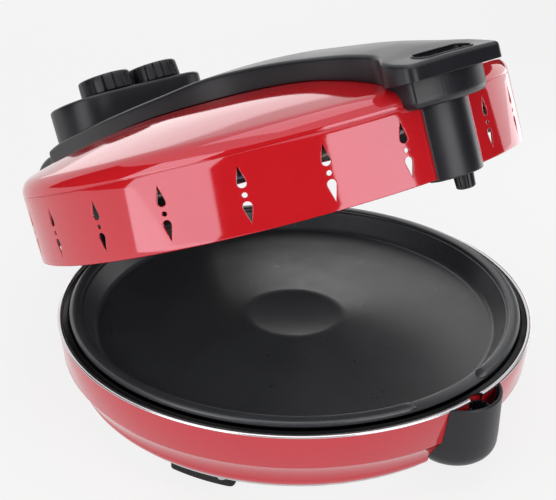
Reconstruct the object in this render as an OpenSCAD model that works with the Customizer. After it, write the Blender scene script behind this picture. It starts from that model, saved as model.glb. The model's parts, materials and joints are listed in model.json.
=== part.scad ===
// Electric pizza maker: a round base with a turning pan, and a vented lid that swings up on a rear hinge.
// +X is right, +Y is the hinge side, +Z is up; the origin is the bowl's centre on the counter.
// The lid is drawn shut and then swung open by lid_open, so every lid size reads as if it were closed.

/* [Base] */
// Height of the rim above the counter
rim_z = 62; // [58:1:70]
// Width of the bright rim seen from above
rim_w = 3.7; // [3:0.1:5]
// Height of the step that splits the red wall
step_z = 36.7; // [35:0.5:40]
// Inward slope of the red wall below the step
wall_taper = 8; // [6:0.5:10]
// Sheet thickness of the red shells
shell_t = 1.2; // [0.8:0.1:1.6]
// Sheet thickness of the black liner
liner_t = 0.8; // [0.6:0.1:1.2]
// Height of the liner floor's upper face
liner_floor_z = 34.4; // [33.8:0.1:36]
// Thickness of the bottom plate
plate_t = 1.4; // [1:0.1:2]
// Height of the feet
foot_h = 11.6; // [9:0.1:12]
// Radial width of a foot
foot_w = 16; // [12:1:20]
// Angle that each foot spans
foot_span = 19; // [14:1:24]

/* [Pan] */
// Inner radius of the pan at its mouth
pan_r = 152; // [145:0.5:156]
// Width of the raised bead round the pan
bead_w = 8.4; // [6:0.2:9]
// Gap from the pan's bead to the rim's outer edge
rim_play = 9.6; // [8.8:0.1:14]
// Height of the bead above the rim
bead_rise = 4; // [3:0.2:5]
// Height of the pan floor's upper face
pan_floor_z = 49; // [48:0.2:52]
// Sheet thickness of the pan
pan_t = 1.2; // [1:0.1:2]
// Angle over which the bead is left out at the front
bead_gap = 20; // [12:1:30]

/* [Lid] */
// Gap between rim and lid when shut
lid_gap = 2; // [1:0.1:3]
// Overhang of the lid wall past the rim
lid_over = 1.5; // [0.5:0.1:3]
// Height of the lid wall up to the crease
lid_wall_h = 45.7; // [42:0.1:55]
// Radius of the rounded shoulder above the crease
shoulder_r = 12; // [8:0.5:16]
// Rise of the dome from shoulder to crown
dome_rise = 18.3; // [12:0.1:24]
// How full the dome is: 2 is a parabola, more holds its height further out
dome_power = 2.8; // [2:0.1:3.2]
// How far the lid stands open at rest, in degrees
lid_open = 22.9; // [0:0.1:60]
// Distance of the hinge axis behind the rim
hinge_back = 23.3; // [20:0.1:28]
// Height of the hinge axis above the counter
hinge_z = 61.5; // [58:0.1:64]
// Radius of the hinge pin
hinge_pin_r = 4; // [3:0.1:5]
// Height of the liner's edge above the lid's lower edge
lid_liner_h = 35.5; // [33:0.1:37]
// Rise of the lid liner to its middle
lid_liner_rise = 6; // [4:0.5:9]

/* [Vents] */
// Number of vent groups on each side
vent_count = 10; // [4:1:10]
// Angle from the front to the first group
vent_first = 12.2; // [12:0.1:15]
// Angle between groups
vent_step = 16.22; // [10:0.01:16.5]
// Width of a teardrop vent
vent_w = 5.6; // [3:0.1:7]
// Length of a teardrop vent
vent_len = 13; // [9:0.1:15]
// Height of the upper teardrop's tip above the lid edge
vent_top_h = 38.8; // [36:0.1:40]
// Height of the lower teardrop's tip above the lid edge
vent_low_h = 5.2; // [4:0.1:8]
// Height of the small round vent above the lid edge
vent_mid_h = 21.8; // [20:0.1:24]
// Radius of the small round vent
vent_dot_r = 1.6; // [1:0.1:2.4]

/* [Cover and handle] */
// Half width of the cover behind the handle
spine_half = 26; // [22:1:30]
// Half width of the cover under the control pod
tail_half = 70; // [68:1:74]
// Half width of the handle plate
handle_half = 40.5; // [36:0.5:46]
// How far the handle reaches past the rim
handle_reach = 18.6; // [16:0.1:22]
// Height of the handle plate's underside
handle_z = 122; // [121.8:0.1:124]
// Wall thickness of the black mouldings
mould_t = 2.4; // [1.8:0.1:3]
// Length of the grip recess
slot_len = 46; // [36:1:56]
// Width of the grip recess
slot_w = 13; // [10:0.5:14]

/* [Control pod] */
// Half width of the pod
pod_half = 66; // [60:1:68]
// Depth of the pod from front to back
pod_depth = 70; // [66:1:74]
// Corner radius of the pod
pod_corner = 33; // [24:1:34]
// Height of the pod's top at its front edge
pod_z = 166.2; // [162:0.2:170]
// Backward tilt of the pod's top, in degrees
pod_tilt = 5; // [2:0.5:6]
// Radius of a control knob
knob_r = 21.5; // [16:0.25:22]
// Height of a control knob
knob_h = 14.4; // [11:0.1:17]
// Distance between the knob centres
knob_pitch = 45; // [44.4:0.2:52]
// Number of grooves round a knob
knob_grooves = 22; // [16:1:28]
// Radius of a control shaft
control_shaft_r = 3; // [2.5:0.1:3.5]

/* [Pan drive] */
// Distance of the drive axis outside the rim radius
drive_out = 2; // [1.8:0.1:2.6]
// Radius of the spigot over its ribs
spigot_r = 6.2; // [5.6:0.1:6.4]
// Depth of a spigot rib
rib_d = 1.1; // [0.8:0.1:1.3]
// Number of spigot ribs
rib_count = 10; // [8:1:12]
// Length of the ribbed spigot
spigot_h = 8.5; // [7:0.1:10]
// Radius of the drive shafts
drive_shaft_r = 3; // [2.5:0.1:3.2]
// Radius of the spindle
spindle_r = 4; // [3.5:0.1:5]
// Teeth on the small gear
pinion_teeth = 8; // [8:1:8]
// Teeth on the idler gear
idler_teeth = 64; // [64:2:64]
// Teeth on the main gear
main_teeth = 79; // [79:2:79]
// Thickness of the gears
gear_t = 5; // [4:0.5:5.5]
// Height of the gears' lower face
gear_z = 25; // [24:0.5:25.4]
// Radius of the motor
motor_r = 24.5; // [20:0.5:24.5]
// Thickness of the motor
motor_t = 11.5; // [9:0.5:12]

/* [Heating] */
// Radius of the heating elements' rings
element_r = 112; // [90:1:120]
// Radius of the heating elements' tube
tube_r = 3.25; // [2.5:0.05:4]
// Gap below the lid liner's edge to the upper element's centre
upper_drop = 7; // [6:0.5:9]
// Height of the lower element's centre above the liner floor
lower_rise = 7; // [6:0.1:7.5]

/* [Fits] */
// Running clearance of a shaft in its bore
run_gap = 0.06; // [0.03:0.01:0.1]
// Gap between pieces that only lie together
seat_gap = 0.1; // [0.05:0.05:0.2]
// Gap between mouldings and the shells they follow
skin_gap = 0.3; // [0.2:0.05:0.5]

/* [Hidden] */
$fn = 96;

red = [0.80, 0.10, 0.13];
black = [0.16, 0.16, 0.19];
steel = [0.78, 0.78, 0.80];
nonstick = [0.10, 0.10, 0.11];
nylon = [0.86, 0.84, 0.78];
round_fn = 180;

// Base levels and radii
rim_r = pan_r + bead_w + rim_play;
plate_top = foot_h + plate_t;
shell_low_r = rim_r - 3.7 - wall_taper;
shell_top_r = rim_r - 0.35;
shell_top = rim_z - 1.5;
trim_low = rim_z - 2;
shell_lip_r = shell_low_r - 12.3;
liner_r = rim_r - 7.6;
trim_in_r = rim_r - rim_w;
foot_r = shell_low_r - 12.8;
middle_foot_r = 12;
rear_foot_r = 7.6;
plate_r = shell_lip_r + 6.4;
screw_ring_r = shell_lip_r + 3;
screw_r = 1.6;
screw_count = 6;

// Lid levels and radii
lid_r = rim_r + lid_over;
lid_z = rim_z + lid_gap;
crease_z = lid_z + lid_wall_h;
dome_r = lid_r - shoulder_r;
dome_edge_z = crease_z + shoulder_r;
crown_z = dome_edge_z + dome_rise;
hinge_y = rim_r + hinge_back;
lid_liner_z = lid_z + lid_liner_h;
function dome_z(r) = crown_z - dome_rise * pow(r / dome_r, dome_power);

// Front column, cup and drive
drive_y = -(rim_r + drive_out);
cup_r = 28.7;
cup_y = drive_y + 18.5;
cup_wall = 2.2;
cup_floor_z = plate_top + 1;
cup_top_z = rim_z + 0.1;
column_r = cup_r - cup_wall - 0.1;
column_half = 20;
column_z = cup_top_z + skin_gap;
column_back = drive_y + 9.5;
neck_r = 65;
neck_half = 33;
neck_front = drive_y - 14;
neck_z = 106;
socket_r = spigot_r + 1.3;
socket_top = column_z - 6.4;
socket_h = 9;
flange_half = 31;
flange_low = gear_z - 1.2;
flange_top = step_z - 0.9;

// Gears share one module, so the three always fill the distance from the spindle to the drive axis
gear_m = 2 * -drive_y / (pinion_teeth + 2 * idler_teeth + main_teeth);
pinion_r = gear_m * pinion_teeth / 2;
idler_r = gear_m * idler_teeth / 2;
main_r = gear_m * main_teeth / 2;
idler_y = drive_y + pinion_r + idler_r;
tooth_up = 0.8 * gear_m;
tooth_down = 1.0 * gear_m;
journal_r = pinion_r + tooth_up + 0.35;
pocket_r = journal_r + 0.1;

// Heating element sleeves
leg_angle = 7.2;
clip_angles = [-40, 45, 135, 220];
leg_r = tube_r + 0.4;

// Pan levels
pan_low = pan_floor_z - pan_t;
seat_z = liner_floor_z + 5.6;
bead_top = rim_z + bead_rise;
bead_low = rim_z + 0.6;

// Cover outline, as half widths along the lid
tail_y = rim_r + 20;
handle_y = -(rim_r + handle_reach);
slot_y = handle_y + 4.5 + slot_w / 2;
cover_low = dome_edge_z - 0.7;
pod_front = tail_y + 8 - pod_depth;
pod_back = pod_front + pod_depth;
knob_y = pod_front + 24;
function cover_top(y) = lookup(y / rim_r, [
    [-1.11, 132.2], [-1.01, 136], [-0.93, 139.6], [-0.753, 145.4], [-0.506, 150.4], [-0.265, 153.6],
    [-0.06, 154.4], [0.16, 151.2], [0.335, 148.8], [0.576, 145], [0.76, 141.4], [0.91, 137.4],
    [1.118, 131.2], [1.19, 129.2]
]) + crown_z - 140;
cover_half = [
    [-0.84, spine_half + 0.6], [-0.5, spine_half], [-0.35, spine_half + 3.5], [-0.2, spine_half + 12],
    [-0.06, spine_half + 22], [0.1, tail_half - 13], [0.25, tail_half - 7], [0.45, tail_half - 2.5],
    [0.65, tail_half], [1, tail_half]
];
bracket_half = tail_half - 16;
bracket_back = hinge_y + 12.7;
bracket_top = hinge_z - 11.5;
cheek_in = bracket_half + 3;
cheek_out = tail_half - 4;
hood_in = cheek_out - mould_t;
slab_z = handle_z - 22;
slab_h = crown_z - 60;
side_reach = tail_half + 30;
gland_x = -26;
gland_z = foot_h + 9.9;
gland_r = 3.6;

// Turns the shut lid to its rest position
module on_lid() {
    translate([0, hinge_y, hinge_z]) rotate([-lid_open, 0, 0])
        translate([0, -hinge_y, -hinge_z]) children();
}

// Frame of the tilted pod top: the origin is on the top face at the given place
module on_pod(x, y) {
    translate([x, y, pod_top(y)]) rotate([-pod_tilt, 0, 0]) children();
}
function pod_top(y) = pod_z - tan(pod_tilt) * (y - pod_front);

module tube(r_out, r_in, z0, z1) {
    translate([0, 0, z0]) difference() {
        cylinder(r = r_out, h = z1 - z0);
        translate([0, 0, -1]) cylinder(r = r_in, h = z1 - z0 + 2);
    }
}

module disc(r, z0, z1) {
    translate([0, 0, z0]) cylinder(r = r, h = z1 - z0);
}

module block(x0, x1, y0, y1, z0, z1) {
    translate([x0, y0, z0]) cube([x1 - x0, y1 - y0, z1 - z0]);
}

module across(half, y, z, r) {
    translate([-half, y, z]) rotate([0, 90, 0]) cylinder(r = r, h = 2 * half);
}

// Outer profile of the red base wall, moved outwards by g
function wall_profile(g) = [
    [shell_top_r + g, shell_top], [rim_r - 2.5 + g, step_z], [rim_r - 3.7 + g, step_z - 0.6],
    [shell_low_r + g, foot_h + 7.4], [shell_low_r - 1.4 + g, foot_h + 4.4],
    [shell_low_r - 4.6 + g, foot_h + 2.2 - g], [shell_lip_r + 4, plate_top - g]
];

module base_solid(g) {
    rotate_extrude($fn = round_fn)
        polygon(concat(wall_profile(g), [[0, plate_top - g], [0, shell_top]]));
}

// Outer profile of the lid, moved outwards by g
function lid_profile(g) = concat(
    [for (i = [0 : 10]) [dome_r * i / 10, dome_z(dome_r * i / 10) + g]],
    [for (i = [1 : 8])
        [dome_r + (shoulder_r + g) * sin(90 * i / 8), crease_z + (shoulder_r + g) * cos(90 * i / 8)]]
);

module lid_solid(g) {
    rotate_extrude($fn = round_fn)
        polygon(concat(lid_profile(g), [[lid_r + g, lid_z], [0, lid_z]]));
}

// One tooth: its share of the pitch, and -1, 0 or 1 for root, pitch circle and tip
tooth_flank = [[-0.26, -1], [-0.165, 0], [-0.075, 1], [0.075, 1], [0.165, 0], [0.26, -1]];

// A gear outline with straight-flanked teeth; a tooth points along +X when turn is 0
function gear_points(teeth, turn) = let (r = gear_m * teeth / 2, p = 360 / teeth) [
    for (k = [0 : teeth - 1], c = tooth_flank)
        let (a = turn + p * (k + c[0]), q = c[1] > 0 ? r + tooth_up : c[1] < 0 ? r - tooth_down : r)
            [q * cos(a), q * sin(a)]
];

module gear_plate(teeth, turn, z0, z1) {
    translate([0, 0, z0]) linear_extrude(z1 - z0) polygon(gear_points(teeth, turn));
}

// The spigot's ribs, or the socket's grooves when g widens them
module ribbed(g, h) {
    linear_extrude(h) union() {
        circle(r = spigot_r - rib_d + g);
        for (k = [0 : rib_count - 1]) rotate(360 / rib_count * k)
            translate([0, -0.8 - g]) square([spigot_r + g, 1.6 + 2 * g]);
    }
}

// Base

module rim_trim() color(steel) difference() {
    mid = (trim_in_r + rim_r) / 2;
    lip_r = shell_top_r - shell_t - seat_gap;
    rotate_extrude($fn = round_fn) polygon(concat(
        [[rim_r, shell_top + seat_gap], [rim_r, rim_z - 1.1]],
        [for (a = [15 : 15 : 165]) [mid + rim_w / 2 * cos(a), rim_z - 1.1 + 1.1 * sin(a)]],
        [[trim_in_r, trim_low], [lip_r, trim_low], [lip_r, shell_top + seat_gap]]
    ));
    translate([0, drive_y, 0]) disc(spigot_r + 0.5, rim_z - 5, rim_z + 1);
}

module base_shell() color(red) difference() {
    union() {
        rotate_extrude($fn = round_fn) polygon(concat(
            wall_profile(0), [[shell_lip_r, plate_top], [shell_lip_r, plate_top + shell_t]],
            [[shell_lip_r + 4, plate_top + shell_t], [shell_low_r - 5, foot_h + 2.2 + shell_t],
             [shell_low_r - 1.4 - shell_t, foot_h + 5], [shell_low_r - shell_t, foot_h + 7.6],
             [rim_r - 3.7 - shell_t, step_z - 0.6], [rim_r - 2.5 - shell_t, step_z + 0.3],
             [shell_top_r - shell_t, shell_top]]));
        intersection() {
            translate([0, drive_y, 0]) disc(pocket_r + 0.7, step_z, trim_low - seat_gap);
            disc(rim_r - 2.6, step_z, rim_z);
        }
    }
    translate([0, drive_y, 0]) disc(pocket_r, step_z - 1, rim_z);
    block(-flange_half - skin_gap, flange_half + skin_gap, drive_y, drive_y + 30,
          flange_low - skin_gap, flange_top + skin_gap);
    for (k = [0 : screw_count - 1]) rotate(30 + 360 / screw_count * k)
        translate([screw_ring_r, 0, 0]) disc(screw_r + seat_gap, plate_top - 1, plate_top + 4);
    translate([20, rim_r - 12, gland_z]) rotate([-90, 0, 0]) cylinder(r = 7, h = 12);
}

module base_liner() color(nonstick) difference() {
    rotate_extrude($fn = round_fn) polygon([
        [trim_in_r - seat_gap, rim_z - 0.8], [liner_r, rim_z - 0.8], [liner_r - 0.8, liner_floor_z + 6],
        [liner_r - 2.6, liner_floor_z + 1.8], [liner_r - 7, liner_floor_z], [0, liner_floor_z],
        [0, liner_floor_z - liner_t], [liner_r - 6.8, liner_floor_z - liner_t],
        [liner_r - 1.9, liner_floor_z + 1.4], [liner_r - 0.8 + liner_t, liner_floor_z + 6],
        [liner_r + 0.3, rim_z - 1.6], [trim_in_r - seat_gap, rim_z - 1.6]
    ]);
    disc(8 + seat_gap, 0, rim_z);
    for (a = [-leg_angle, leg_angle]) rotate(90 + a) translate([element_r, 0, 0])
        disc(leg_r + 0.6, 0, liner_floor_z + 1);
    translate([0, drive_y, 0]) disc(pocket_r + 1, liner_floor_z, rim_z);
}

module bottom_plate() color(steel) difference() {
    disc(plate_r, foot_h, plate_top);
    for (k = [0 : 23]) rotate(7.5 + 15 * k)
        translate([shell_lip_r * 0.62, 0, 0]) block(0, 18, -1.8, 1.8, 0, plate_top + 1);
    for (k = [0 : screw_count - 1]) rotate(30 + 360 / screw_count * k)
        translate([screw_ring_r, 0, 0]) disc(screw_r + seat_gap, 0, plate_top + 1);
    block(-cup_r, cup_r, drive_y, -shell_lip_r + 2, 0, plate_top + 1);
}

module foot(angle) {
    rotate(angle) intersection() {
        difference() {
            cylinder(r1 = foot_r - 0.8, r2 = foot_r, h = foot_h);
            translate([0, 0, -1]) cylinder(r = foot_r - foot_w, h = foot_h + 2);
        }
        rotate(-foot_span / 2) cube([foot_r + 5, foot_r + 5, foot_h]);
        rotate(foot_span / 2 - 90) cube([foot_r + 5, foot_r + 5, foot_h]);
    }
}

module feet() color(black) {
    for (a = [-157, -23, 55, 125]) foot(a);
    cylinder(r1 = middle_foot_r - 0.6, r2 = middle_foot_r, h = foot_h);
    for (s = [-1, 1]) translate([s * (bracket_half - 14), hinge_y - 2, 0])
        cylinder(r1 = rear_foot_r - 0.6, r2 = rear_foot_r, h = foot_h);
}

module plate_screws() color(steel)
    for (k = [0 : screw_count - 1]) rotate(30 + 360 / screw_count * k) translate([screw_ring_r, 0, 0]) {
        disc(3, foot_h - 1.7, foot_h);
        disc(screw_r, foot_h - 0.5, plate_top + 6);
    }

// Cup that takes the lid's spigot; its foot holds the small gear and reaches in under the step
module drive_housing() color(black) difference() {
    union() {
        difference() {
            translate([0, cup_y, 0]) rotate_extrude() polygon([
                [0, cup_floor_z], [17, cup_floor_z], [23.5, cup_floor_z + 2.4], [27.3, cup_floor_z + 7.4],
                [cup_r, cup_floor_z + 14.4], [cup_r, cup_top_z], [0, cup_top_z]
            ]);
            base_solid(seat_gap);
            disc(rim_r + seat_gap, rim_z - 5, rim_z + 5);
            block(-50, 50, -shell_lip_r, 0, 0, rim_z + 5);
        }
        difference() {
            intersection() {
                disc(rim_r - 3.4, flange_low, flange_top);
                block(-flange_half, flange_half, drive_y, drive_y + 30, 0, rim_z);
            }
            disc(liner_r - 1.4, 0, rim_z);
        }
        intersection() {
            translate([0, drive_y, 0]) disc(pocket_r + 3, cup_floor_z, cup_floor_z + 6.5);
            disc(rim_r + 12, 0, rim_z);
        }
    }
    translate([0, cup_y, 0]) disc(cup_r - cup_wall, socket_top - socket_h - 1, rim_z + 5);
    translate([0, drive_y, 0]) {
        disc(journal_r + run_gap, gear_z - 1.2, rim_z + 5);
        disc(drive_shaft_r + run_gap, cup_floor_z + 1.6, rim_z);
    }
    translate([0, idler_y, 0]) disc(idler_r + tooth_up + 0.6, gear_z - 0.8, gear_z + gear_t + 0.8);
}

module hinge_bracket() color(black) difference() {
    union() {
        difference() {
            block(-bracket_half, bracket_half, rim_r - 18, bracket_back, foot_h, bracket_top);
            base_solid(seat_gap);
            disc(plate_r + seat_gap, 0, plate_top + 0.1);
        }
        across(bracket_half, hinge_y, hinge_z, hinge_pin_r + 5);
        block(-bracket_half, bracket_half, hinge_y - hinge_pin_r - 5, hinge_y + hinge_pin_r + 5,
              bracket_top - 1, hinge_z);
    }
    difference() {
        block(-bracket_half + mould_t, bracket_half - mould_t, rim_r - 30, bracket_back - mould_t,
              foot_h + mould_t, bracket_top - mould_t);
        block(-bracket_half, bracket_half, rim_r - 31, bracket_back, 0, foot_h + mould_t);
    }
    across(bracket_half + 1, hinge_y, hinge_z, hinge_pin_r);
    translate([gland_x, bracket_back - 8, gland_z]) rotate([-90, 0, 0]) cylinder(r = 6, h = 12);
}

module hinge_pin() color(steel) difference() {
    across(cheek_out - 0.5, hinge_y, hinge_z, hinge_pin_r);
    for (s = [-1, 1]) translate([s * (cheek_out - 1.7), hinge_y, hinge_z]) rotate([0, 90, 0])
        difference() {
            translate([0, 0, -0.4]) cylinder(r = hinge_pin_r + 1, h = 0.8);
            translate([0, 0, -1]) cylinder(r = hinge_pin_r - 0.6, h = 2);
        }
}

module cord_gland() color(black) translate([gland_x, bracket_back, gland_z]) rotate([-90, 0, 0])
    difference() {
        union() {
            translate([0, 0, -mould_t - 3]) cylinder(r = 6, h = mould_t + 4);
            cylinder(r = 8.4, h = 2.4);
            translate([0, 0, 2.4]) cylinder(r1 = 7, r2 = 5.8, h = 4.6);
            translate([0, 0, -mould_t - 3]) cylinder(r = 7.4, h = 2.9);
        }
        translate([0, 0, -10]) cylinder(r = gland_r, h = 20);
    }

module terminal_block() color(nylon) difference() {
    block(0, 34, hinge_y - 12, hinge_y + 2, foot_h + mould_t, foot_h + mould_t + 13);
    for (k = [0 : 2]) translate([6 + 11 * k, hinge_y - 13, foot_h + mould_t + 5]) rotate([-90, 0, 0])
        cylinder(r = 1.8, h = 20);
}

module thermal_fuse() color(steel) {
    translate([-16, element_r - 30, liner_floor_z - liner_t - 3.2]) rotate([0, 90, 0])
        cylinder(r = 2, h = 22);
    for (x = [-12, 0]) translate([x, element_r - 30, 0]) block(0, 3, -3.2, 3.2,
        liner_floor_z - liner_t - 1.6, liner_floor_z - liner_t);
}

// A ring of sheathed tube whose two ends sit in sleeves at the hinge side; leg is the sleeves' reach
module element(z, leg) {
    rotate(90 + leg_angle) rotate_extrude(angle = 360 - 2 * leg_angle, $fn = round_fn)
        translate([element_r, 0]) circle(r = tube_r, $fn = 24);
    for (a = [-leg_angle, leg_angle]) rotate(90 + a) translate([element_r, 0, 0])
        disc(leg_r, min(-leg_r, leg), max(leg_r, leg));
}

module lower_element() color(nylon * 0.6)
    translate([0, 0, liner_floor_z + lower_rise]) element(0, -lower_rise - 9);

module lower_element_clips() color(steel) for (a = clip_angles) rotate(a)
    translate([element_r, 0, 0]) difference() {
        block(-4.6, 4.6, -2, 2, liner_floor_z, liner_floor_z + lower_rise);
        translate([0, 3, liner_floor_z + lower_rise]) rotate([90, 0, 0])
            cylinder(r = tube_r + seat_gap, h = 6, $fn = 32);
        block(-3, 3, -3, 3, liner_floor_z + 1, liner_floor_z + lower_rise - tube_r - 1.2);
    }

module spindle_bush() color(nylon) difference() {
    union() {
        disc(8, liner_floor_z - 3.6, liner_floor_z + 1);
        disc(12, liner_floor_z, liner_floor_z + 2.8);
    }
    disc(spindle_r + run_gap, 0, rim_z);
}

module thrust_bearing() color(nylon) difference() {
    union() {
        disc(9, plate_top, gear_z - 4);
        disc(15, plate_top, plate_top + 2);
    }
    disc(spindle_r + run_gap, plate_top + 0.9, rim_z);
}

module idler_post() color(steel) translate([0, idler_y, 0]) {
    disc(11, plate_top, plate_top + 2);
    disc(7.5, plate_top, gear_z - 4);
    disc(4, plate_top, gear_z + gear_t + 1.4);
    disc(6.5, gear_z + gear_t + 0.2, gear_z + gear_t + 1.4);
}

module idler_gear() color(nylon) translate([0, idler_y, 0]) difference() {
    union() {
        gear_plate(idler_teeth, -90 + 180 / idler_teeth, gear_z, gear_z + gear_t);
        disc(10, gear_z - 3.8, gear_z + gear_t);
    }
    disc(4 + run_gap, 0, rim_z);
    for (k = [0 : 4]) rotate(72 * k) translate([idler_r * 0.57, 0, 0]) disc(idler_r * 0.22, 0, rim_z);
}

module drive_coupling() color(black) translate([0, drive_y, 0]) difference() {
    union() {
        disc(drive_shaft_r, cup_floor_z + 1.9, socket_top - 2);
        gear_plate(pinion_teeth, 90, gear_z - 0.6, gear_z + gear_t + 0.6);
        disc(journal_r, gear_z + gear_t + 4, gear_z + gear_t + 10);
        disc(socket_r, socket_top - socket_h, socket_top);
    }
    translate([0, 0, socket_top - socket_h + 1.6]) ribbed(0.45, socket_h);
}

module spindle() color(steel) {
    disc(spindle_r, plate_top + 1, seat_z + 2);
    disc(14, liner_floor_z + 3.1, seat_z);
    translate([0, 0, seat_z]) cylinder(r = 9, h = 5.4, $fn = 6);
}

module main_gear() color(nylon) difference() {
    union() {
        gear_plate(main_teeth, -90, gear_z, gear_z + gear_t);
        disc(12, gear_z - 3.8, gear_z + gear_t);
    }
    disc(spindle_r, 0, rim_z);
    for (k = [0 : 5]) rotate(60 * k) translate([main_r * 0.56, 0, 0]) disc(main_r * 0.2, 0, rim_z);
}

module pan_hub() color(steel) difference() {
    union() {
        disc(13.4, seat_z + seat_gap, pan_low);
        disc(20, pan_low - 1, pan_low);
    }
    translate([0, 0, seat_z - 1]) cylinder(r = 9.4, h = 8, $fn = 6);
}

// Shallow dish with a rolled bead; the bead stops short at the front, where the edge stays flat
module baking_pan() color(nonstick) union() {
    rotate_extrude($fn = round_fn) polygon([
        [0, pan_floor_z], [pan_r - 10, pan_floor_z], [pan_r - 6.6, pan_floor_z + 1.4],
        [pan_r, bead_low + pan_t], [pan_r + bead_w + 1, bead_low + pan_t],
        [pan_r + bead_w + 1, bead_low], [pan_r + 0.9, bead_low],
        [pan_r - 5.4, pan_floor_z], [pan_r - 9.6, pan_low], [0, pan_low]
    ]);
    rotate(-94 + bead_gap / 2) rotate_extrude(angle = 360 - bead_gap, $fn = round_fn) polygon(concat(
        [[pan_r + bead_w + 0.6, bead_low + 0.4]],
        [for (a = [0 : 20 : 180]) [pan_r + 1 + bead_w / 2 + bead_w / 2 * cos(a),
            bead_top - 1.8 + 1.8 * sin(a)]],
        [[pan_r + 1.4, bead_low + 0.4]]
    ));
}

// Lid

// Teardrop with a round end at the origin and its tip at +Y
module teardrop() {
    r = vent_w / 2;
    tip = vent_len - r;
    side = acos(r / tip);
    arc = 360 - 2 * side;
    polygon(concat([for (i = [0 : 12]) r * [cos(90 - side - arc * i / 12), sin(90 - side - arc * i / 12)]],
        [[0, tip]]));
}

module vent_group() {
    translate([0, -lid_r + 6, lid_z]) rotate([90, 0, 0]) linear_extrude(12) {
        translate([0, vent_top_h - vent_len + vent_w / 2]) teardrop();
        translate([0, vent_low_h + vent_len - vent_w / 2]) mirror([0, 1]) teardrop();
        translate([0, vent_mid_h]) circle(r = vent_dot_r, $fn = 20);
    }
}

module lid_shell() color(red) on_lid() difference() {
    lid_solid(0);
    rotate_extrude($fn = round_fn)
        polygon(concat(lid_profile(-shell_t), [[lid_r - shell_t, lid_z - 1], [0, lid_z - 1]]));
    for (s = [-1, 1], k = [0 : vent_count - 1]) rotate(s * (vent_first + vent_step * k)) vent_group();
    block(-column_half - skin_gap, column_half + skin_gap, drive_y - 20, column_back,
          lid_z - 1, neck_z + 2);
    block(-motor_r - 1, motor_r + 1, drive_y - 20, -dome_r + 2, neck_z, dome_edge_z + 1);
    for (p = screw_spots) translate([p[0], p[1], 0]) disc(screw_r + 0.2, crease_z, crown_z + 1);
    translate([0, knob_y - 22, 0]) disc(9, crease_z, crown_z + 1);
}
screw_spots = [[0, -0.62 * rim_r], [0, -0.2 * rim_r], [-40, 0.42 * rim_r], [40, 0.42 * rim_r]];

module lid_liner() color(steel) on_lid() difference() {
    rotate_extrude($fn = round_fn) polygon([
        [lid_r - shell_t - seat_gap, lid_liner_z], [lid_r - 4, lid_liner_z + 0.3],
        [dome_r - 6, lid_liner_z + 2.6], [dome_r * 0.6, lid_liner_z + lid_liner_rise * 0.8],
        [0, lid_liner_z + lid_liner_rise], [0, lid_liner_z + lid_liner_rise + liner_t],
        [dome_r * 0.6, lid_liner_z + lid_liner_rise * 0.8 + liner_t],
        [dome_r - 6, lid_liner_z + 2.6 + liner_t], [lid_r - 4, lid_liner_z + 0.3 + liner_t],
        [lid_r - shell_t - seat_gap, lid_liner_z + liner_t]
    ]);
    block(-column_half - skin_gap, column_half + skin_gap, drive_y, column_back + skin_gap, 0, crown_z);
    for (a = [-leg_angle, leg_angle]) rotate(90 + a) translate([element_r, 0, 0])
        disc(leg_r + 0.6, 0, crown_z);
}

module upper_element() color(nylon * 0.6) on_lid()
    translate([0, 0, lid_liner_z - upper_drop]) element(0, upper_drop + lid_liner_rise + 8);

function liner_under(r) = lid_liner_z + lid_liner_rise * 0.8
    - (r - dome_r * 0.6) / (dome_r * 0.4 - 6) * (lid_liner_rise * 0.8 - 2.6);

module upper_element_clips() color(steel) on_lid() for (a = clip_angles) rotate(a)
    translate([element_r, 0, 0]) difference() {
        block(-4.6, 4.6, -2, 2, lid_liner_z - upper_drop, liner_under(element_r + 4.6) - 0.05);
        translate([0, 3, lid_liner_z - upper_drop]) rotate([90, 0, 0])
            cylinder(r = tube_r + seat_gap, h = 6, $fn = 32);
    }

// Long moulding over the lid, from the handle plate to the hinge
function cover_outline(g) = let (
    hy = handle_y + g,
    hh = handle_half - g,
    right = concat(
        [for (a = [0 : 15 : 90]) [hh - 6 + 6 * sin(a), hy + 6 - 6 * cos(a)]],
        [[hh, -0.985 * rim_r]],
        [for (a = [15 : 15 : 90]) let (r = hh - spine_half + g - 0.6)
            [hh - r * (1 - cos(a)), -0.985 * rim_r + r * 1.15 * sin(a)]],
        [for (c = cover_half) [c[1] - g, c[0] * rim_r]],
        [for (a = [0 : 22.5 : 90]) [tail_half - g - 6 + 6 * cos(a), tail_y - g - 6 + 6 * sin(a)]]
    ))
    concat(right, [for (i = [len(right) - 1 : -1 : 0]) [-right[i][0], right[i][1]]]);

function cover_side(g, low) = concat(
    [[tail_y + 12, low], [handle_y - 1, low]],
    [for (i = [0 : 40]) let (y = handle_y - 1 + (tail_y + 13 - handle_y) * i / 40) [y, cover_top(y) - g]]
);

module cover_prism(g, low, half) {
    rotate([90, 0, 90]) translate([0, 0, -half]) linear_extrude(2 * half) polygon(cover_side(g, low));
}

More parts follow.
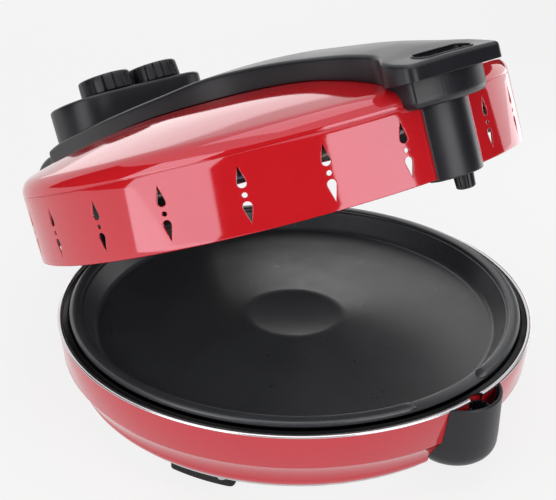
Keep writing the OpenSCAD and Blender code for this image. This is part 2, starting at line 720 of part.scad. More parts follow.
module top_cover() color(black) on_lid() difference() {
    intersection() {
        translate([0, 0, slab_z]) linear_extrude(slab_h) polygon(cover_outline(0));
        cover_prism(0, cover_low, side_reach);
    }
    difference() {
        intersection() {
            translate([0, 0, slab_z]) linear_extrude(slab_h) polygon(cover_outline(mould_t));
            cover_prism(mould_t, cover_low - 5, side_reach);
        }
        block(-side_reach, side_reach, handle_y - 5, slot_y + slot_w / 2 + mould_t, slab_z, slab_z + slab_h);
        for (p = screw_spots) translate([p[0], p[1], 0]) disc(5, slab_z, slab_z + slab_h);
    }
    lid_solid(skin_gap);
    block(-side_reach, side_reach, handle_y - 5, -0.9 * rim_r, slab_z - 10, handle_z);
    for (s = [-1, 1]) translate([s * (slot_len - slot_w) / 2, slot_y, 0])
        disc(slot_w / 2, handle_z + mould_t, 160);
    block(-(slot_len - slot_w) / 2, (slot_len - slot_w) / 2, slot_y - slot_w / 2, slot_y + slot_w / 2,
          handle_z + mould_t, 160);
    for (p = screw_spots) translate([p[0], p[1], 0])
        disc(screw_r, slab_z, cover_top(p[1]) - mould_t);
}

module cover_screws() color(steel) on_lid() for (p = screw_spots) {
    r = norm(p);
    translate([p[0], p[1], 0]) {
        disc(screw_r - 0.05, dome_z(r) - shell_t - 2.4, dome_z(r) + 7);
        disc(3.4, dome_z(r) - shell_t - 3.4, dome_z(r) - shell_t - 0.9);
    }
}

// Neck under the handle and the column that carries the pan drive
module front_housing() color(black) on_lid() difference() {
    union() {
        difference() {
            neck(0);
            lid_solid(skin_gap);
        }
        intersection() {
            neck(0);
            block(-motor_r - 0.7, motor_r + 0.7, drive_y - 20, -dome_r + 1.6, 0, handle_z);
        }
        column(0, column_z, neck_z + 1);
    }
    translate([0, motor_y, 0]) disc(motor_r + seat_gap, neck_z + 1.8, handle_z + 1);
    column(mould_t - 0.2, column_z + 3, neck_z + 5);
    translate([0, drive_y, 0]) disc(drive_shaft_r + run_gap, 0, neck_z);
}
motor_y = neck_front + mould_t + motor_r;
motor_z = neck_z + 2;

module neck(g) {
    intersection() {
        translate([0, neck_front + neck_r, 0]) disc(neck_r, neck_z, handle_z - 0.1);
        block(-neck_half, neck_half, drive_y - 20, -dome_r + 1.6, neck_z, handle_z);
    }
}

module column(g, z0, z1) {
    intersection() {
        translate([0, cup_y, 0]) disc(column_r - g, z0, z1);
        block(-column_half + g, column_half - g, drive_y - 20, column_back - g, z0, z1);
    }
}

module drive_motor() color(steel) on_lid() difference() {
    union() {
        translate([0, motor_y, 0]) disc(motor_r, motor_z, motor_z + motor_t);
        translate([0, drive_y, 0]) disc(5.5, motor_z - 5, motor_z + 1);
        for (s = [-1, 1]) translate([s * 8, motor_y + motor_r - 6, 0])
            block(-2, 2, 0, 9, motor_z + 3, motor_z + 4);
    }
    translate([0, drive_y, 0]) disc(drive_shaft_r + run_gap, motor_z - 6, motor_z + 2);
}

module drive_spigot() color(black) on_lid() translate([0, drive_y, 0]) {
    disc(drive_shaft_r, column_z - 1, motor_z + 1.6);
    difference() {
        translate([0, 0, column_z - 0.2 - spigot_h]) ribbed(0, spigot_h);
        translate([0, 0, column_z - 0.2 - spigot_h - 0.01]) difference() {
            cylinder(r = spigot_r + 2, h = 1.6);
            cylinder(r1 = spigot_r - 1.3, r2 = spigot_r + 0.4, h = 1.6);
        }
    }
}

// Rounded shell over the hinge; its cheeks turn on the pin
function hood_side(g) = [
    [rim_r - 8, hinge_z + 4.5], [hinge_y + 11.7 - g * 0.4, hinge_z + 4.5],
    [hinge_y + 44.7 - g, hinge_z + 22.5], [hinge_y + 46.7 - g, hinge_z + 33.5],
    [hinge_y + 43.7 - g, hinge_z + 43.5 - g * 0.6],
    [hinge_y + 35 - g * 0.8, hinge_z + 52 - g * 0.8], [hinge_y + 22.7 - g * 0.5, crown_z - 19 - g],
    [hinge_y + 12.7 - g * 0.4, crown_z - 13.6 - g], [hinge_y + 3, crown_z - 11.4 - g],
    [rim_r - 8, crown_z - 9 - g]
];

module hood_prism(g, half) {
    rotate([90, 0, 90]) translate([0, 0, -half]) linear_extrude(2 * half) polygon(hood_side(g));
}

module hinge_cover() color(black) on_lid() difference() {
    union() {
        difference() {
            hood_prism(0, cheek_out);
            hood_prism(mould_t, hood_in);
            block(-hood_in, hood_in, rim_r - 20, hinge_y + 60, hinge_z, hinge_z + 12);
            block(-hood_in, hood_in, rim_r - 20, rim_r, hinge_z, crown_z - 9 - mould_t);
        }
        for (s = [0, 1]) mirror([s, 0, 0]) {
            translate([cheek_in, hinge_y, hinge_z]) rotate([0, 90, 0])
                cylinder(r = 10, h = cheek_out - cheek_in);
            block(cheek_in, cheek_out, hinge_y - 10, hinge_y + 10, hinge_z, hinge_z + 18);
        }
    }
    lid_solid(skin_gap);
    block(-side_reach, side_reach, rim_r - 20, tail_y + seat_gap, cover_low - seat_gap, crown_z + 20);
    across(cheek_out + 1, hinge_y, hinge_z, hinge_pin_r + run_gap);
}

// Raised oval housing for the two controls
module pod_outline(g) {
    x = pod_half - pod_corner;
    polygon([for (q = [0 : 3], a = [0 : 7.5 : 90]) [
        (q % 3 == 0 ? x : -x) + (pod_corner - g) * cos(90 * q + a),
        (q < 2 ? pod_back - pod_corner : pod_front + pod_corner) + (pod_corner - g) * sin(90 * q + a)
    ]]);
}

module under_pod_top(g) {
    translate([0, pod_front, pod_z - g]) rotate([-pod_tilt, 0, 0])
        block(-side_reach, side_reach, -20, pod_depth + 50, crown_z - 200, 0);
}

module control_pod() color(black) on_lid() difference() {
    intersection() {
        translate([0, 0, slab_z]) linear_extrude(slab_h + 10) pod_outline(0);
        under_pod_top(0);
    }
    intersection() {
        translate([0, 0, slab_z - 10]) linear_extrude(slab_h + 20) pod_outline(mould_t);
        under_pod_top(mould_t);
    }
    cover_prism(-seat_gap, slab_z - 10, side_reach);
    for (s = [-1, 1]) on_pod(s * knob_pitch / 2, knob_y)
        translate([0, 0, -10]) cylinder(r = control_shaft_r + run_gap, h = 20);
}

module knob(s) {
    on_pod(s * knob_pitch / 2, knob_y) difference() {
        union() {
            translate([0, 0, 0.8]) cylinder(r1 = knob_r, r2 = knob_r - 0.6, h = knob_h - 1.4);
            translate([0, 0, knob_h - 0.6]) cylinder(r1 = knob_r - 0.6, r2 = knob_r - 1.6, h = 0.6);
            translate([0, 0, knob_h]) rotate(90) block(5, knob_r - 3, -1, 1, -1, 0.5);
        }
        for (k = [0 : knob_grooves - 1]) rotate(360 / knob_grooves * (k + 0.5))
            translate([knob_r - 1.2, -0.6, 0]) cube([3, 1.2, knob_h + 1]);
        translate([0, 0, -1]) cylinder(r = control_shaft_r, h = knob_h - 2);
        tube(knob_r - 2.6, 6.5, -1, knob_h - 2.4);
    }
}

module control_shaft(s) {
    on_pod(s * knob_pitch / 2, knob_y) translate([0, 0, -9]) cylinder(r = control_shaft_r, h = knob_h + 6);
}

module control_body(s, w, d, h) {
    on_pod(s * knob_pitch / 2, knob_y) difference() {
        union() {
            block(-w / 2, w / 2, -d / 2, d / 2, -mould_t - seat_gap - h, -mould_t - seat_gap);
            translate([0, 0, -mould_t - seat_gap - h + 2]) block(-4, 4, d / 2 - 1, d / 2 + 3, 0, 1);
        }
        translate([0, 0, -10]) cylinder(r = control_shaft_r + run_gap, h = 20);
    }
}

module timer_knob() color(black) on_lid() knob(-1);
module timer_shaft() color(steel) on_lid() control_shaft(-1);
module timer_mechanism() color(steel) on_lid() control_body(-1, knob_pitch - 6, knob_pitch - 8, 16);
module heat_knob() color(black) on_lid() knob(1);
module heat_shaft() color(steel) on_lid() control_shaft(1);
module heat_switch() color(nylon) on_lid() control_body(1, knob_pitch - 14, knob_pitch - 14, 14);

module thermostat() color(steel) on_lid() translate([30, 40, 0]) {
    seat = lid_liner_z + lid_liner_rise + liner_t - 0.4;
    disc(8, seat, seat + 8.4);
    block(-16, 16, -5, 5, seat, seat + 1.2);
}

rim_trim();
base_shell();
base_liner();
bottom_plate();
feet();
plate_screws();
drive_housing();
hinge_bracket();
hinge_pin();
cord_gland();
terminal_block();
thermal_fuse();
lower_element();
lower_element_clips();
spindle_bush();
thrust_bearing();
idler_post();
idler_gear();
drive_coupling();
spindle();
main_gear();
pan_hub();
baking_pan();
lid_shell();
lid_liner();
upper_element();
upper_element_clips();
top_cover();
cover_screws();
front_housing();
drive_motor();
drive_spigot();
hinge_cover();
control_pod();
timer_knob();
timer_shaft();
timer_mechanism();
heat_knob();
heat_shaft();
heat_switch();
thermostat();
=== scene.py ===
import json
import math

import bmesh
import bpy
import numpy as np
from mathutils import Matrix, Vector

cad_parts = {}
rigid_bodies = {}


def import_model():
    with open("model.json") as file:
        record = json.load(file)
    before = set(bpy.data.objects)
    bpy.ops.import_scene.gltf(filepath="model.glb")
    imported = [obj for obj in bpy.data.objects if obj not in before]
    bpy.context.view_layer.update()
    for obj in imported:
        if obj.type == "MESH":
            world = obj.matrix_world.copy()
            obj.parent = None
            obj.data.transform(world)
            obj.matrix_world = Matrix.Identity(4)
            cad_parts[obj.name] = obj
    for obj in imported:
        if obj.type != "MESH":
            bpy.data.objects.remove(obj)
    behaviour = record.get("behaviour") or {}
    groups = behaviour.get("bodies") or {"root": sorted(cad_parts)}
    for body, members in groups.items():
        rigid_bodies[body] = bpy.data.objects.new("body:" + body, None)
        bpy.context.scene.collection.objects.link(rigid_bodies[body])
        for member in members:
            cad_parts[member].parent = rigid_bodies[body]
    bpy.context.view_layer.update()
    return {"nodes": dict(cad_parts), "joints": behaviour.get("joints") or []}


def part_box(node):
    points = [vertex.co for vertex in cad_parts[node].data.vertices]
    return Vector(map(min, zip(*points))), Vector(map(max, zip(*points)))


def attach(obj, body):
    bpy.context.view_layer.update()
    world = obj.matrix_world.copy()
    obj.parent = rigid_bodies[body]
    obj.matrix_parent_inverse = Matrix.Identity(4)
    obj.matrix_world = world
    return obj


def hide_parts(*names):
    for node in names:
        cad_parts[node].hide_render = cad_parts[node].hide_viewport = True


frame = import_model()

LID_BODIES = ("lid", "spigot", "timer", "heat")

# Sizes are in millimetres with the lid shut; the lid's pieces are swung open when they are made.
MM = 0.001
JOINTS = {j["name"]: j for j in frame["joints"]}
HINGE_Y, HINGE_Z = [v / MM for v in JOINTS["lid_hinge"]["pos_m"][1:]]
LID_OPEN = math.atan2(*JOINTS["spigot_spin"]["axis"][1:])
DRIVE_Y = JOINTS["coupling_spin"]["pos_m"][1] / MM
RIM_R = round(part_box("rim_trim")[1][0] / MM)
RIM_Z = round(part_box("rim_trim")[1][2] / MM)
FOOT_H = round(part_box("feet")[1][2] / MM, 1)

TRIM_W = 3.7
STEP_Z = 36.7
SHELL_LOW_R = RIM_R - 11.7
SHELL_T = 1.2
SHELL_TOP_R, SHELL_TOP = RIM_R - 0.35, RIM_Z - 1.5
LINER_R = RIM_R - 7.6
LINER_FLOOR = 34.4
POCKET_R, BITE_R = 8.1, 6.7
RECESS_HALF, FLANGE_HALF = 9.5, 9.3
ARC_FEET_AT = (-157, -23, 55, 125)
PAN_R = 152.0
PAN_FLOOR = 49.0
BEAD_W = 8.4
BEAD_TOP = RIM_Z + 4.0
BEAD_GAP = (-104.0, -84.0)

LID_R = RIM_R + 1.5
LID_Z = RIM_Z + 2.0
SHOULDER_R = 12.0
CREASE_Z = LID_Z + 45.7
DOME_R = LID_R - SHOULDER_R
CROWN_Z = CREASE_Z + SHOULDER_R + 18.3
DOME_POWER = 2.8
LID_LINER_Z = LID_Z + 35.5
VENT_FIRST, VENT_STEP, VENT_COUNT = 12.2, 16.22, 10
VENT_R, VENT_LEN, DOT_R = 2.8, 13.0, 1.6
LOW_TIP, DOT_Z, HIGH_TIP = 5.2, 21.8, 38.8
CELL_HALF, CELL_STEPS = 6.0, 6

CUP_Y = DRIVE_Y + 18.5
CUP_R = 28.7
COLUMN_R = 26.4
COLUMN_HALF = 20.0
COLUMN_Z = 62.4
NECK_Z = 106.0
HANDLE_Z = 122.0
HANDLE_Y = -188.6
HANDLE_HALF = 40.5
TAIL_Y = 190.0
TAIL_HALF = 70.0
POD_HALF, POD_FRONT, POD_DEPTH, POD_CORNER = 66.0, 128.0, 70.0, 33.0
POD_Z, POD_TILT = 166.2, math.radians(5.0)
KNOB_Y = POD_FRONT + 24.0
KNOB_X = 22.5
KNOB_R, KNOB_H = 21.5, 14.4
SLOT_Y, SLOT_HALF, SLOT_W = HANDLE_Y + 11.0, 23.0, 13.0
ELEMENT_R, TUBE_R = 112.0, 3.25


# Points and faces

def swing(p):
    """Points (..., 3) of the shut lid, turned about the hinge line to where the lid stands at rest."""
    c, s = math.cos(LID_OPEN), math.sin(LID_OPEN)
    y, z = p[..., 1] - HINGE_Y, p[..., 2] - HINGE_Z
    return np.stack([p[..., 0], HINGE_Y + c * y + s * z, HINGE_Z - s * y + c * z], -1)


def pod_top(x, y):
    """Upper face of the control pod: its front height less the way back times the tangent of the tilt."""
    return POD_Z - math.tan(POD_TILT) * (y - POD_FRONT)


def on_pod(p, x, y):
    """Points (..., 3) drawn about the origin, set on the tilted pod top at x, y."""
    c, s = math.cos(POD_TILT), math.sin(POD_TILT)
    z = pod_top(x, y)
    return np.stack([p[..., 0] + x, y + c * p[..., 1] + s * p[..., 2], z - s * p[..., 1] + c * p[..., 2]], -1)


def grid(points, wrap_rows=False, wrap_cols=False, keep=None):
    """Quads over a (rows, cols, 3) array; keep, if given, is a mask of the quads that stay."""
    rows, cols = points.shape[:2]
    i = np.arange(rows if wrap_rows else rows - 1)[:, None]
    j = np.arange(cols if wrap_cols else cols - 1)[None, :]
    i2, j2 = (i + 1) % rows, (j + 1) % cols
    quads = np.stack([i * cols + j, i * cols + j2, i2 * cols + j2, i2 * cols + j], -1)
    quads = quads[keep] if keep is not None else quads.reshape(-1, 4)
    return points.reshape(-1, 3), quads.tolist()


def join(*parts):
    """One (points, faces) pair from several."""
    points, faces, start = [], [], 0
    for p, f in parts:
        points.append(p)
        faces += [[v + start for v in face] for face in f]
        start += len(p)
    return np.concatenate(points), faces


def moved(part, change):
    """The part with change applied to its points."""
    return change(part[0]), part[1]


def rounded(corners, cut, steps):
    """Closed outline whose corners are each cut by a quadratic curve; cut is its reach along both sides."""
    c = np.asarray(corners, float)
    cut = np.broadcast_to(np.asarray(cut, float), len(c))[:, None]
    before, after = np.roll(c, 1, 0) - c, np.roll(c, -1, 0) - c
    lb, la = np.linalg.norm(before, axis=1, keepdims=True), np.linalg.norm(after, axis=1, keepdims=True)
    a = c + before / lb * np.minimum(cut, lb * 0.45)
    b = c + after / la * np.minimum(cut, la * 0.45)
    t = np.linspace(0, 1, steps)[None, :, None]
    curve = ((1 - t) ** 2 * a[:, None] + 2 * t * (1 - t) * c[:, None] + t ** 2 * b[:, None]).reshape(-1, 2)
    return curve[np.linalg.norm(curve - np.roll(curve, 1, 0), axis=1) > 1e-4]


def refined(outline, step):
    """Closed outline (n, 2) with points added so that no side is longer than step."""
    ends = np.roll(outline, -1, 0)
    length = np.linalg.norm(ends - outline, axis=1)
    count = np.maximum(1, np.ceil(length / step)).astype(int)
    start = np.repeat(np.arange(len(outline)), count)
    share = (np.arange(count.sum()) - np.repeat(np.cumsum(count) - count, count)) / count[start]
    return outline[start] + (ends - outline)[start] * share[:, None]


def through(x, table):
    """Smooth curve through the (x, y) rows of a table: cubic Hermite pieces with averaged slopes."""
    xs, ys = np.asarray(table, float).T
    slopes = np.gradient(ys, xs)
    k = np.clip(np.searchsorted(xs, x) - 1, 0, len(xs) - 2)
    h = xs[k + 1] - xs[k]
    t = np.clip((x - xs[k]) / h, 0, 1)
    return ((2 * t ** 3 - 3 * t ** 2 + 1) * ys[k] + (t ** 3 - 2 * t ** 2 + t) * h * slopes[k]
            + (3 * t ** 2 - 2 * t ** 3) * ys[k + 1] + (t ** 3 - t ** 2) * h * slopes[k + 1])


def arc(cx, cy, r, start, end, count):
    """Points on a circle from angle start to end, in degrees."""
    a = np.radians(np.linspace(start, end, count))
    return np.stack([cx + r * np.cos(a), cy + r * np.sin(a)], -1)


def lathe(profile, count, start=0.0, sweep=360.0, centre=(0.0, 0.0), closed=True):
    """Rows of (radius, height) turned about the Z axis: x = r cos a, y = r sin a. Part turns get end faces."""
    profile = np.asarray(profile, float)
    full = sweep >= 360
    a = np.radians(start + sweep * np.arange(count if full else count + 1) / count)
    r, h = profile.T
    x, y = centre[0] + np.outer(np.cos(a), r), centre[1] + np.outer(np.sin(a), r)
    points, faces = grid(np.stack([x, y, np.broadcast_to(h, x.shape)], -1), full, closed)
    if not full and closed:
        n = len(profile)
        faces += [list(range(n)), list(range(count * n, count * n + n))]
    return points, faces


def moulding(outline, low, top, spine, edge, low_edge, rings=7):
    """Closed solid on a plan outline (n, 2) that runs counter-clockwise.

    low(x, y) and top(x, y) are the heights of its under and upper face. The rim is a quarter round of radius
    edge above and low_edge below, and both faces close on the spine, a segment: a point of a face is
    P + (nearest spine point - P) * k.
    """
    tangent = np.roll(outline, -1, 0) - np.roll(outline, 1, 0)
    tangent /= np.linalg.norm(tangent, axis=1, keepdims=True)
    inward = np.stack([-tangent[:, 1], tangent[:, 0]], -1)
    a, b = np.asarray(spine, float)
    along = b - a
    reach = max(along @ along, 1e-9)

    def level(inset, height, shrink=0.0):
        p = outline + inward * inset
        s = a + np.clip(((p - a) @ along) / reach, 0, 1)[:, None] * along
        p = p + (s - p) * shrink
        return np.column_stack([p, height(p[:, 0], p[:, 1])])

    rows = [level(low_edge, low, k) for k in np.linspace(1, 0, rings)]
    for t in np.radians(np.linspace(15, 90, 6)) if low_edge else ():
        rows.append(level(low_edge * (1 - math.sin(t)), lambda x, y: low(x, y) + low_edge * (1 - math.cos(t))))
    for k in np.linspace(0, 1, 5)[1:-1]:
        rows.append(level(0, lambda x, y: (1 - k) * (low(x, y) + low_edge) + k * (top(x, y) - edge - 3)))
    for t in np.radians(np.linspace(0, 90, 7)):
        rows.append(level(edge * (1 - math.cos(t)), lambda x, y: top(x, y) - edge * (1 - math.sin(t))))
    rows += [level(edge, top, k) for k in np.linspace(0, 1, rings + 3)[1:]]
    return grid(np.array(rows), False, True)


def tube(path, radius, sides, closed=False):
    """Round tube about a level path (n, 3): side = tangent x up, point = path + r (cos side + sin up)."""
    path = np.asarray(path, float)
    if closed:
        tangent = np.roll(path, -1, 0) - np.roll(path, 1, 0)
    else:
        tangent = np.gradient(path, axis=0)
    tangent /= np.linalg.norm(tangent, axis=1, keepdims=True)
    side = np.cross(tangent, [0.0, 0.0, 1.0])
    side /= np.linalg.norm(side, axis=1, keepdims=True)
    up = np.cross(side, tangent)
    a = np.linspace(0, 2 * math.pi, sides, endpoint=False)[None, :, None]
    points = path[:, None] + radius * (np.cos(a) * side[:, None] + np.sin(a) * up[:, None])
    points, faces = grid(points, closed, True)
    if not closed:
        faces += [list(range(sides)), list(range(len(points) - sides, len(points)))]
    return points, faces


def upright(part):
    """A part drawn as (along y, along z, along x) put in its place; the handedness is kept."""
    return moved(part, lambda p: p[:, [2, 0, 1]])


def flat(height):
    """A level face for moulding."""
    return lambda x, y: np.full_like(x, float(height))


def dome(r):
    """Height of the red dome at radius r: the crown less the rise times a power of the share of the radius."""
    return CROWN_Z - (CROWN_Z - CREASE_Z - SHOULDER_R) * (r / DOME_R) ** DOME_POWER


# Finishes

def new_material(name):
    m = bpy.data.materials.new(name)
    m.use_nodes = True
    return m, m.node_tree.nodes, m.node_tree.links


def finish(name, color, rough, *, tint, blotch, grain, bump, metallic=0.0, specular=0.5, cast=(1.0, 1.0, 1.0),
           rough_play=0.06, speckle=None, streak=None, tarnish=None):
    """Principled surface whose colour and roughness drift over the piece and whose grain is a fine bump.

    cast is the colour of the gloss, tint is how far the colour drifts, blotch and grain are noise scales per
    metre, speckle is (colour, share) of small flecks, streak stretches the grain along a direction and tarnish
    is a second colour in patches.
    """
    m, nodes, links = new_material(name)
    shader = nodes["Principled BSDF"]
    shader.inputs["Metallic"].default_value = metallic
    shader.inputs["Specular IOR Level"].default_value = specular
    shader.inputs["Specular Tint"].default_value = (*cast, 1)
    where = nodes.new("ShaderNodeTexCoord")
    place = nodes.new("ShaderNodeMapping")
    if streak:
        place.inputs["Scale"].default_value = streak
    links.new(where.outputs["Object"], place.inputs["Vector"])

    def noise(scale, detail, vector):
        n = nodes.new("ShaderNodeTexNoise")
        n.inputs["Scale"].default_value = scale
        n.inputs["Detail"].default_value = detail
        links.new(vector, n.inputs["Vector"])
        return n.outputs["Fac"]

    def ramp(value, stops):
        r = nodes.new("ShaderNodeValToRGB")
        r.color_ramp.elements[0].position, r.color_ramp.elements[0].color = stops[0][0], (*stops[0][1], 1)
        r.color_ramp.elements[1].position, r.color_ramp.elements[1].color = stops[-1][0], (*stops[-1][1], 1)
        for pos, col in stops[1:-1]:
            e = r.color_ramp.elements.new(pos)
            e.color = (*col, 1)
        links.new(value, r.inputs["Fac"])
        return r.outputs["Color"]

    def mixed(value, a, b):
        x = nodes.new("ShaderNodeMix")
        x.data_type = "RGBA"
        links.new(value, x.inputs["Factor"])
        links.new(a, x.inputs["A"])
        links.new(b, x.inputs["B"])
        return x.outputs["Result"]

    color = np.asarray(color, float)
    dark, light = tuple(color * (1 - tint)), tuple(np.minimum(color * (1 + tint), 1.0))
    out = ramp(noise(blotch, 3, where.outputs["Object"]), [(0.3, dark), (0.7, light)])
    if tarnish:
        patch = ramp(noise(blotch * 0.45, 4, where.outputs["Object"]), [(0.45, (0, 0, 0)), (0.62, (1, 1, 1))])
        other = ramp(noise(blotch * 2, 2, where.outputs["Object"]),
                     [(0.3, tuple(np.asarray(tarnish) * 0.85)), (0.7, tarnish)])
        out = mixed(patch, out, other)
    if speckle:
        fleck, share = speckle
        mask = ramp(noise(grain * 1.6, 1, where.outputs["Object"]),
                    [(1 - share - 0.04, (0, 0, 0)), (1 - share, (1, 1, 1))])
        flecks = ramp(noise(grain * 0.7, 1, where.outputs["Object"]),
                      [(0.4, tuple(np.asarray(fleck) * 0.6)), (0.6, fleck)])
        out = mixed(mask, out, flecks)
    links.new(out, shader.inputs["Base Color"])

    spread = nodes.new("ShaderNodeMapRange")
    spread.inputs["To Min"].default_value = max(0.02, rough - rough_play)
    spread.inputs["To Max"].default_value = min(1.0, rough + rough_play)
    links.new(noise(blotch * 2.3, 5, place.outputs["Vector"]), spread.inputs["Value"])
    links.new(spread.outputs["Result"], shader.inputs["Roughness"])

    relief = nodes.new("ShaderNodeBump")
    relief.inputs["Strength"].default_value = bump
    relief.inputs["Distance"].default_value = 0.0004
    links.new(noise(grain, 3, place.outputs["Vector"]), relief.inputs["Height"])
    links.new(relief.outputs["Normal"], shader.inputs["Normal"])
    return m


RED = finish("red_enamel_gloss", (0.58, 0.011, 0.017), 0.07, specular=1.0, cast=(0.96, 0.86, 1.0), tint=0.05,
             blotch=9, grain=240, bump=0.010, rough_play=0.03)
BLACK = finish("black_moulding_satin", (0.011, 0.011, 0.015), 0.36, specular=0.45, tint=0.18, blotch=14,
               grain=1500, bump=0.06)
ENAMEL = finish("liner_black_enamel", (0.006, 0.006, 0.007), 0.22, specular=0.35, tint=0.3, blotch=30,
                grain=500, bump=0.05, rough_play=0.08)
NONSTICK = finish("pan_non_stick", (0.036, 0.038, 0.044), 0.30, specular=0.75, tint=0.15, blotch=22, grain=1400,
                  bump=0.12, rough_play=0.07, speckle=((0.10, 0.10, 0.11), 0.34))
TRIM = finish("trim_polished_steel", (0.74, 0.71, 0.73), 0.20, metallic=1.0, tint=0.05, blotch=25, grain=700,
              bump=0.02)
SHEET = finish("sheet_zinc_plate", (0.60, 0.60, 0.61), 0.36, metallic=1.0, tint=0.12, blotch=160, grain=1200,
               bump=0.06, rough_play=0.12)
TURNED = finish("turned_steel", (0.58, 0.58, 0.60), 0.28, metallic=1.0, tint=0.08, blotch=60, grain=900,
                bump=0.08, rough_play=0.08, streak=(1, 1, 9))
REFLECTOR = finish("reflector_aluminised_steel", (0.36, 0.36, 0.37), 0.40, metallic=1.0, tint=0.10, blotch=35,
                   grain=1000, bump=0.05, rough_play=0.10, tarnish=(0.42, 0.38, 0.33))
SHEATH = finish("element_heat_tinted_sheath", (0.20, 0.17, 0.15), 0.42, metallic=1.0, tint=0.25, blotch=45,
                grain=1300, bump=0.10, rough_play=0.10, tarnish=(0.12, 0.12, 0.17))
NYLON = finish("gear_nylon_natural", (0.74, 0.71, 0.62), 0.48, tint=0.04, blotch=30, grain=900, bump=0.05)
CERAMIC = finish("insulator_glazed_ceramic", (0.80, 0.78, 0.72), 0.30, tint=0.04, blotch=60, grain=1200,
                 bump=0.06)
RUBBER = finish("foot_black_rubber", (0.018, 0.018, 0.018), 0.72, specular=0.3, tint=0.25, blotch=60,
                grain=1800, bump=0.35)
PRINT = finish("dial_print_white", (0.78, 0.78, 0.76), 0.50, tint=0.04, blotch=80, grain=1500, bump=0.05)


# Pieces

def mesh_object(name, part, body, material, sharp=38.0):
    """Object from a part in millimetres: swung with the lid, doubles merged, faces outwards, smooth."""
    points, faces = part
    if body in LID_BODIES:
        points = swing(points)
    mesh = bpy.data.meshes.new(name)
    mesh.from_pydata((points * MM).tolist(), [], faces)
    bm = bmesh.new()
    bm.from_mesh(mesh)
    bmesh.ops.remove_doubles(bm, verts=bm.verts, dist=2e-6)
    bmesh.ops.dissolve_degenerate(bm, edges=bm.edges, dist=1e-6)
    bmesh.ops.recalc_face_normals(bm, faces=bm.faces)
    if bm.calc_volume(signed=True) < 0:
        bmesh.ops.reverse_faces(bm, faces=bm.faces)
    bm.to_mesh(mesh)
    bm.free()
    mesh.shade_smooth()
    mesh.set_sharp_from_angle(angle=math.radians(sharp))
    mesh.materials.append(material)
    obj = bpy.data.objects.new(name, mesh)
    bpy.context.scene.collection.objects.link(obj)
    return obj


def piece(name, part, body, material, node=None, sharp=38.0, wall=0.0):
    """A piece that rides on body and stands for node, if one is named; wall gives an open skin its thickness."""
    obj = mesh_object(name, part, body, material, sharp)
    if wall:
        sheet = obj.modifiers.new("wall", "SOLIDIFY")
        sheet.thickness = wall * MM
        sheet.offset = -1
        sheet.use_even_offset = True
    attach(obj, body)
    if node:
        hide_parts(node)
    return obj


def carve(obj, body, *parts, sharp=38.0):
    """Cuts closed parts out of a piece on a body and keeps the result as its mesh."""
    for part in parts:
        tool = mesh_object("tool", part, body, obj.data.materials[0])
        cut = obj.modifiers.new("cut", "BOOLEAN")
        cut.operation = "DIFFERENCE"
        cut.solver = "EXACT"
        cut.object = tool
        bpy.context.view_layer.update()
        mesh = bpy.data.meshes.new_from_object(obj.evaluated_get(bpy.context.evaluated_depsgraph_get()))
        obj.modifiers.remove(cut)
        old = obj.data
        obj.data = mesh
        mesh.name = old.name
        bpy.data.meshes.remove(old)
        bpy.data.objects.remove(tool)
        mesh.shade_smooth()
        mesh.set_sharp_from_angle(angle=math.radians(sharp))


def base_profile(grow):
    """Outer profile of the red base wall, from the rim down, moved outwards by grow."""
    upper = [(SHELL_TOP_R + grow, SHELL_TOP), (RIM_R - 2.4 + grow, STEP_Z + 0.8), (RIM_R - 2.7 + grow, STEP_Z + 0.2)]
    lower = [(RIM_R - 3.5 + grow, STEP_Z - 0.5), (SHELL_LOW_R + grow, FOOT_H + 9.6)]
    heel = arc(SHELL_LOW_R - 7.8, FOOT_H + 9.4, 7.8 + grow, 0, -72, 8)
    return upper + lower + heel.tolist() + [(SHELL_LOW_R - 9.0, FOOT_H + 1.4 - grow)]


def make_walls():
    """Red base wall in two bands: a bite for the spigot in the upper one, the cup's recess in the lower one."""
    profile = base_profile(0.0)
    band = profile[:3] + [(RIM_R - 2.7 - SHELL_T, STEP_Z + 0.2), (SHELL_TOP_R - SHELL_T, SHELL_TOP)]
    skirt = profile[2:] + [(SHELL_LOW_R - 9, FOOT_H + 2.6), (SHELL_LOW_R - 8, FOOT_H + 5), (RIM_R - 8.4, STEP_Z - 2),
                           (RIM_R - 8.4, STEP_Z + 0.2)]
    pocket = lathe([(POCKET_R, STEP_Z + 0.3), (POCKET_R + 0.7, STEP_Z + 0.3), (POCKET_R + 0.7, RIM_Z - 2.3),
                    (POCKET_R, RIM_Z - 2.3)], 40, 38, 104, (0, DRIVE_Y))
    shell = piece("base_red_wall", lathe(band, 300), "base", RED)
    carve(shell, "base", lathe([(0.0, STEP_Z - 2), (POCKET_R, STEP_Z - 2), (POCKET_R, RIM_Z), (0.0, RIM_Z)], 64,
                               centre=(0, DRIVE_Y)))
    skirt = join(lathe(skirt, 280, -90 + RECESS_HALF, 360 - 2 * RECESS_HALF), pocket)
    piece("base_red_skirt", skirt, "base", RED, node="base_shell")
    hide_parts("base_shell")


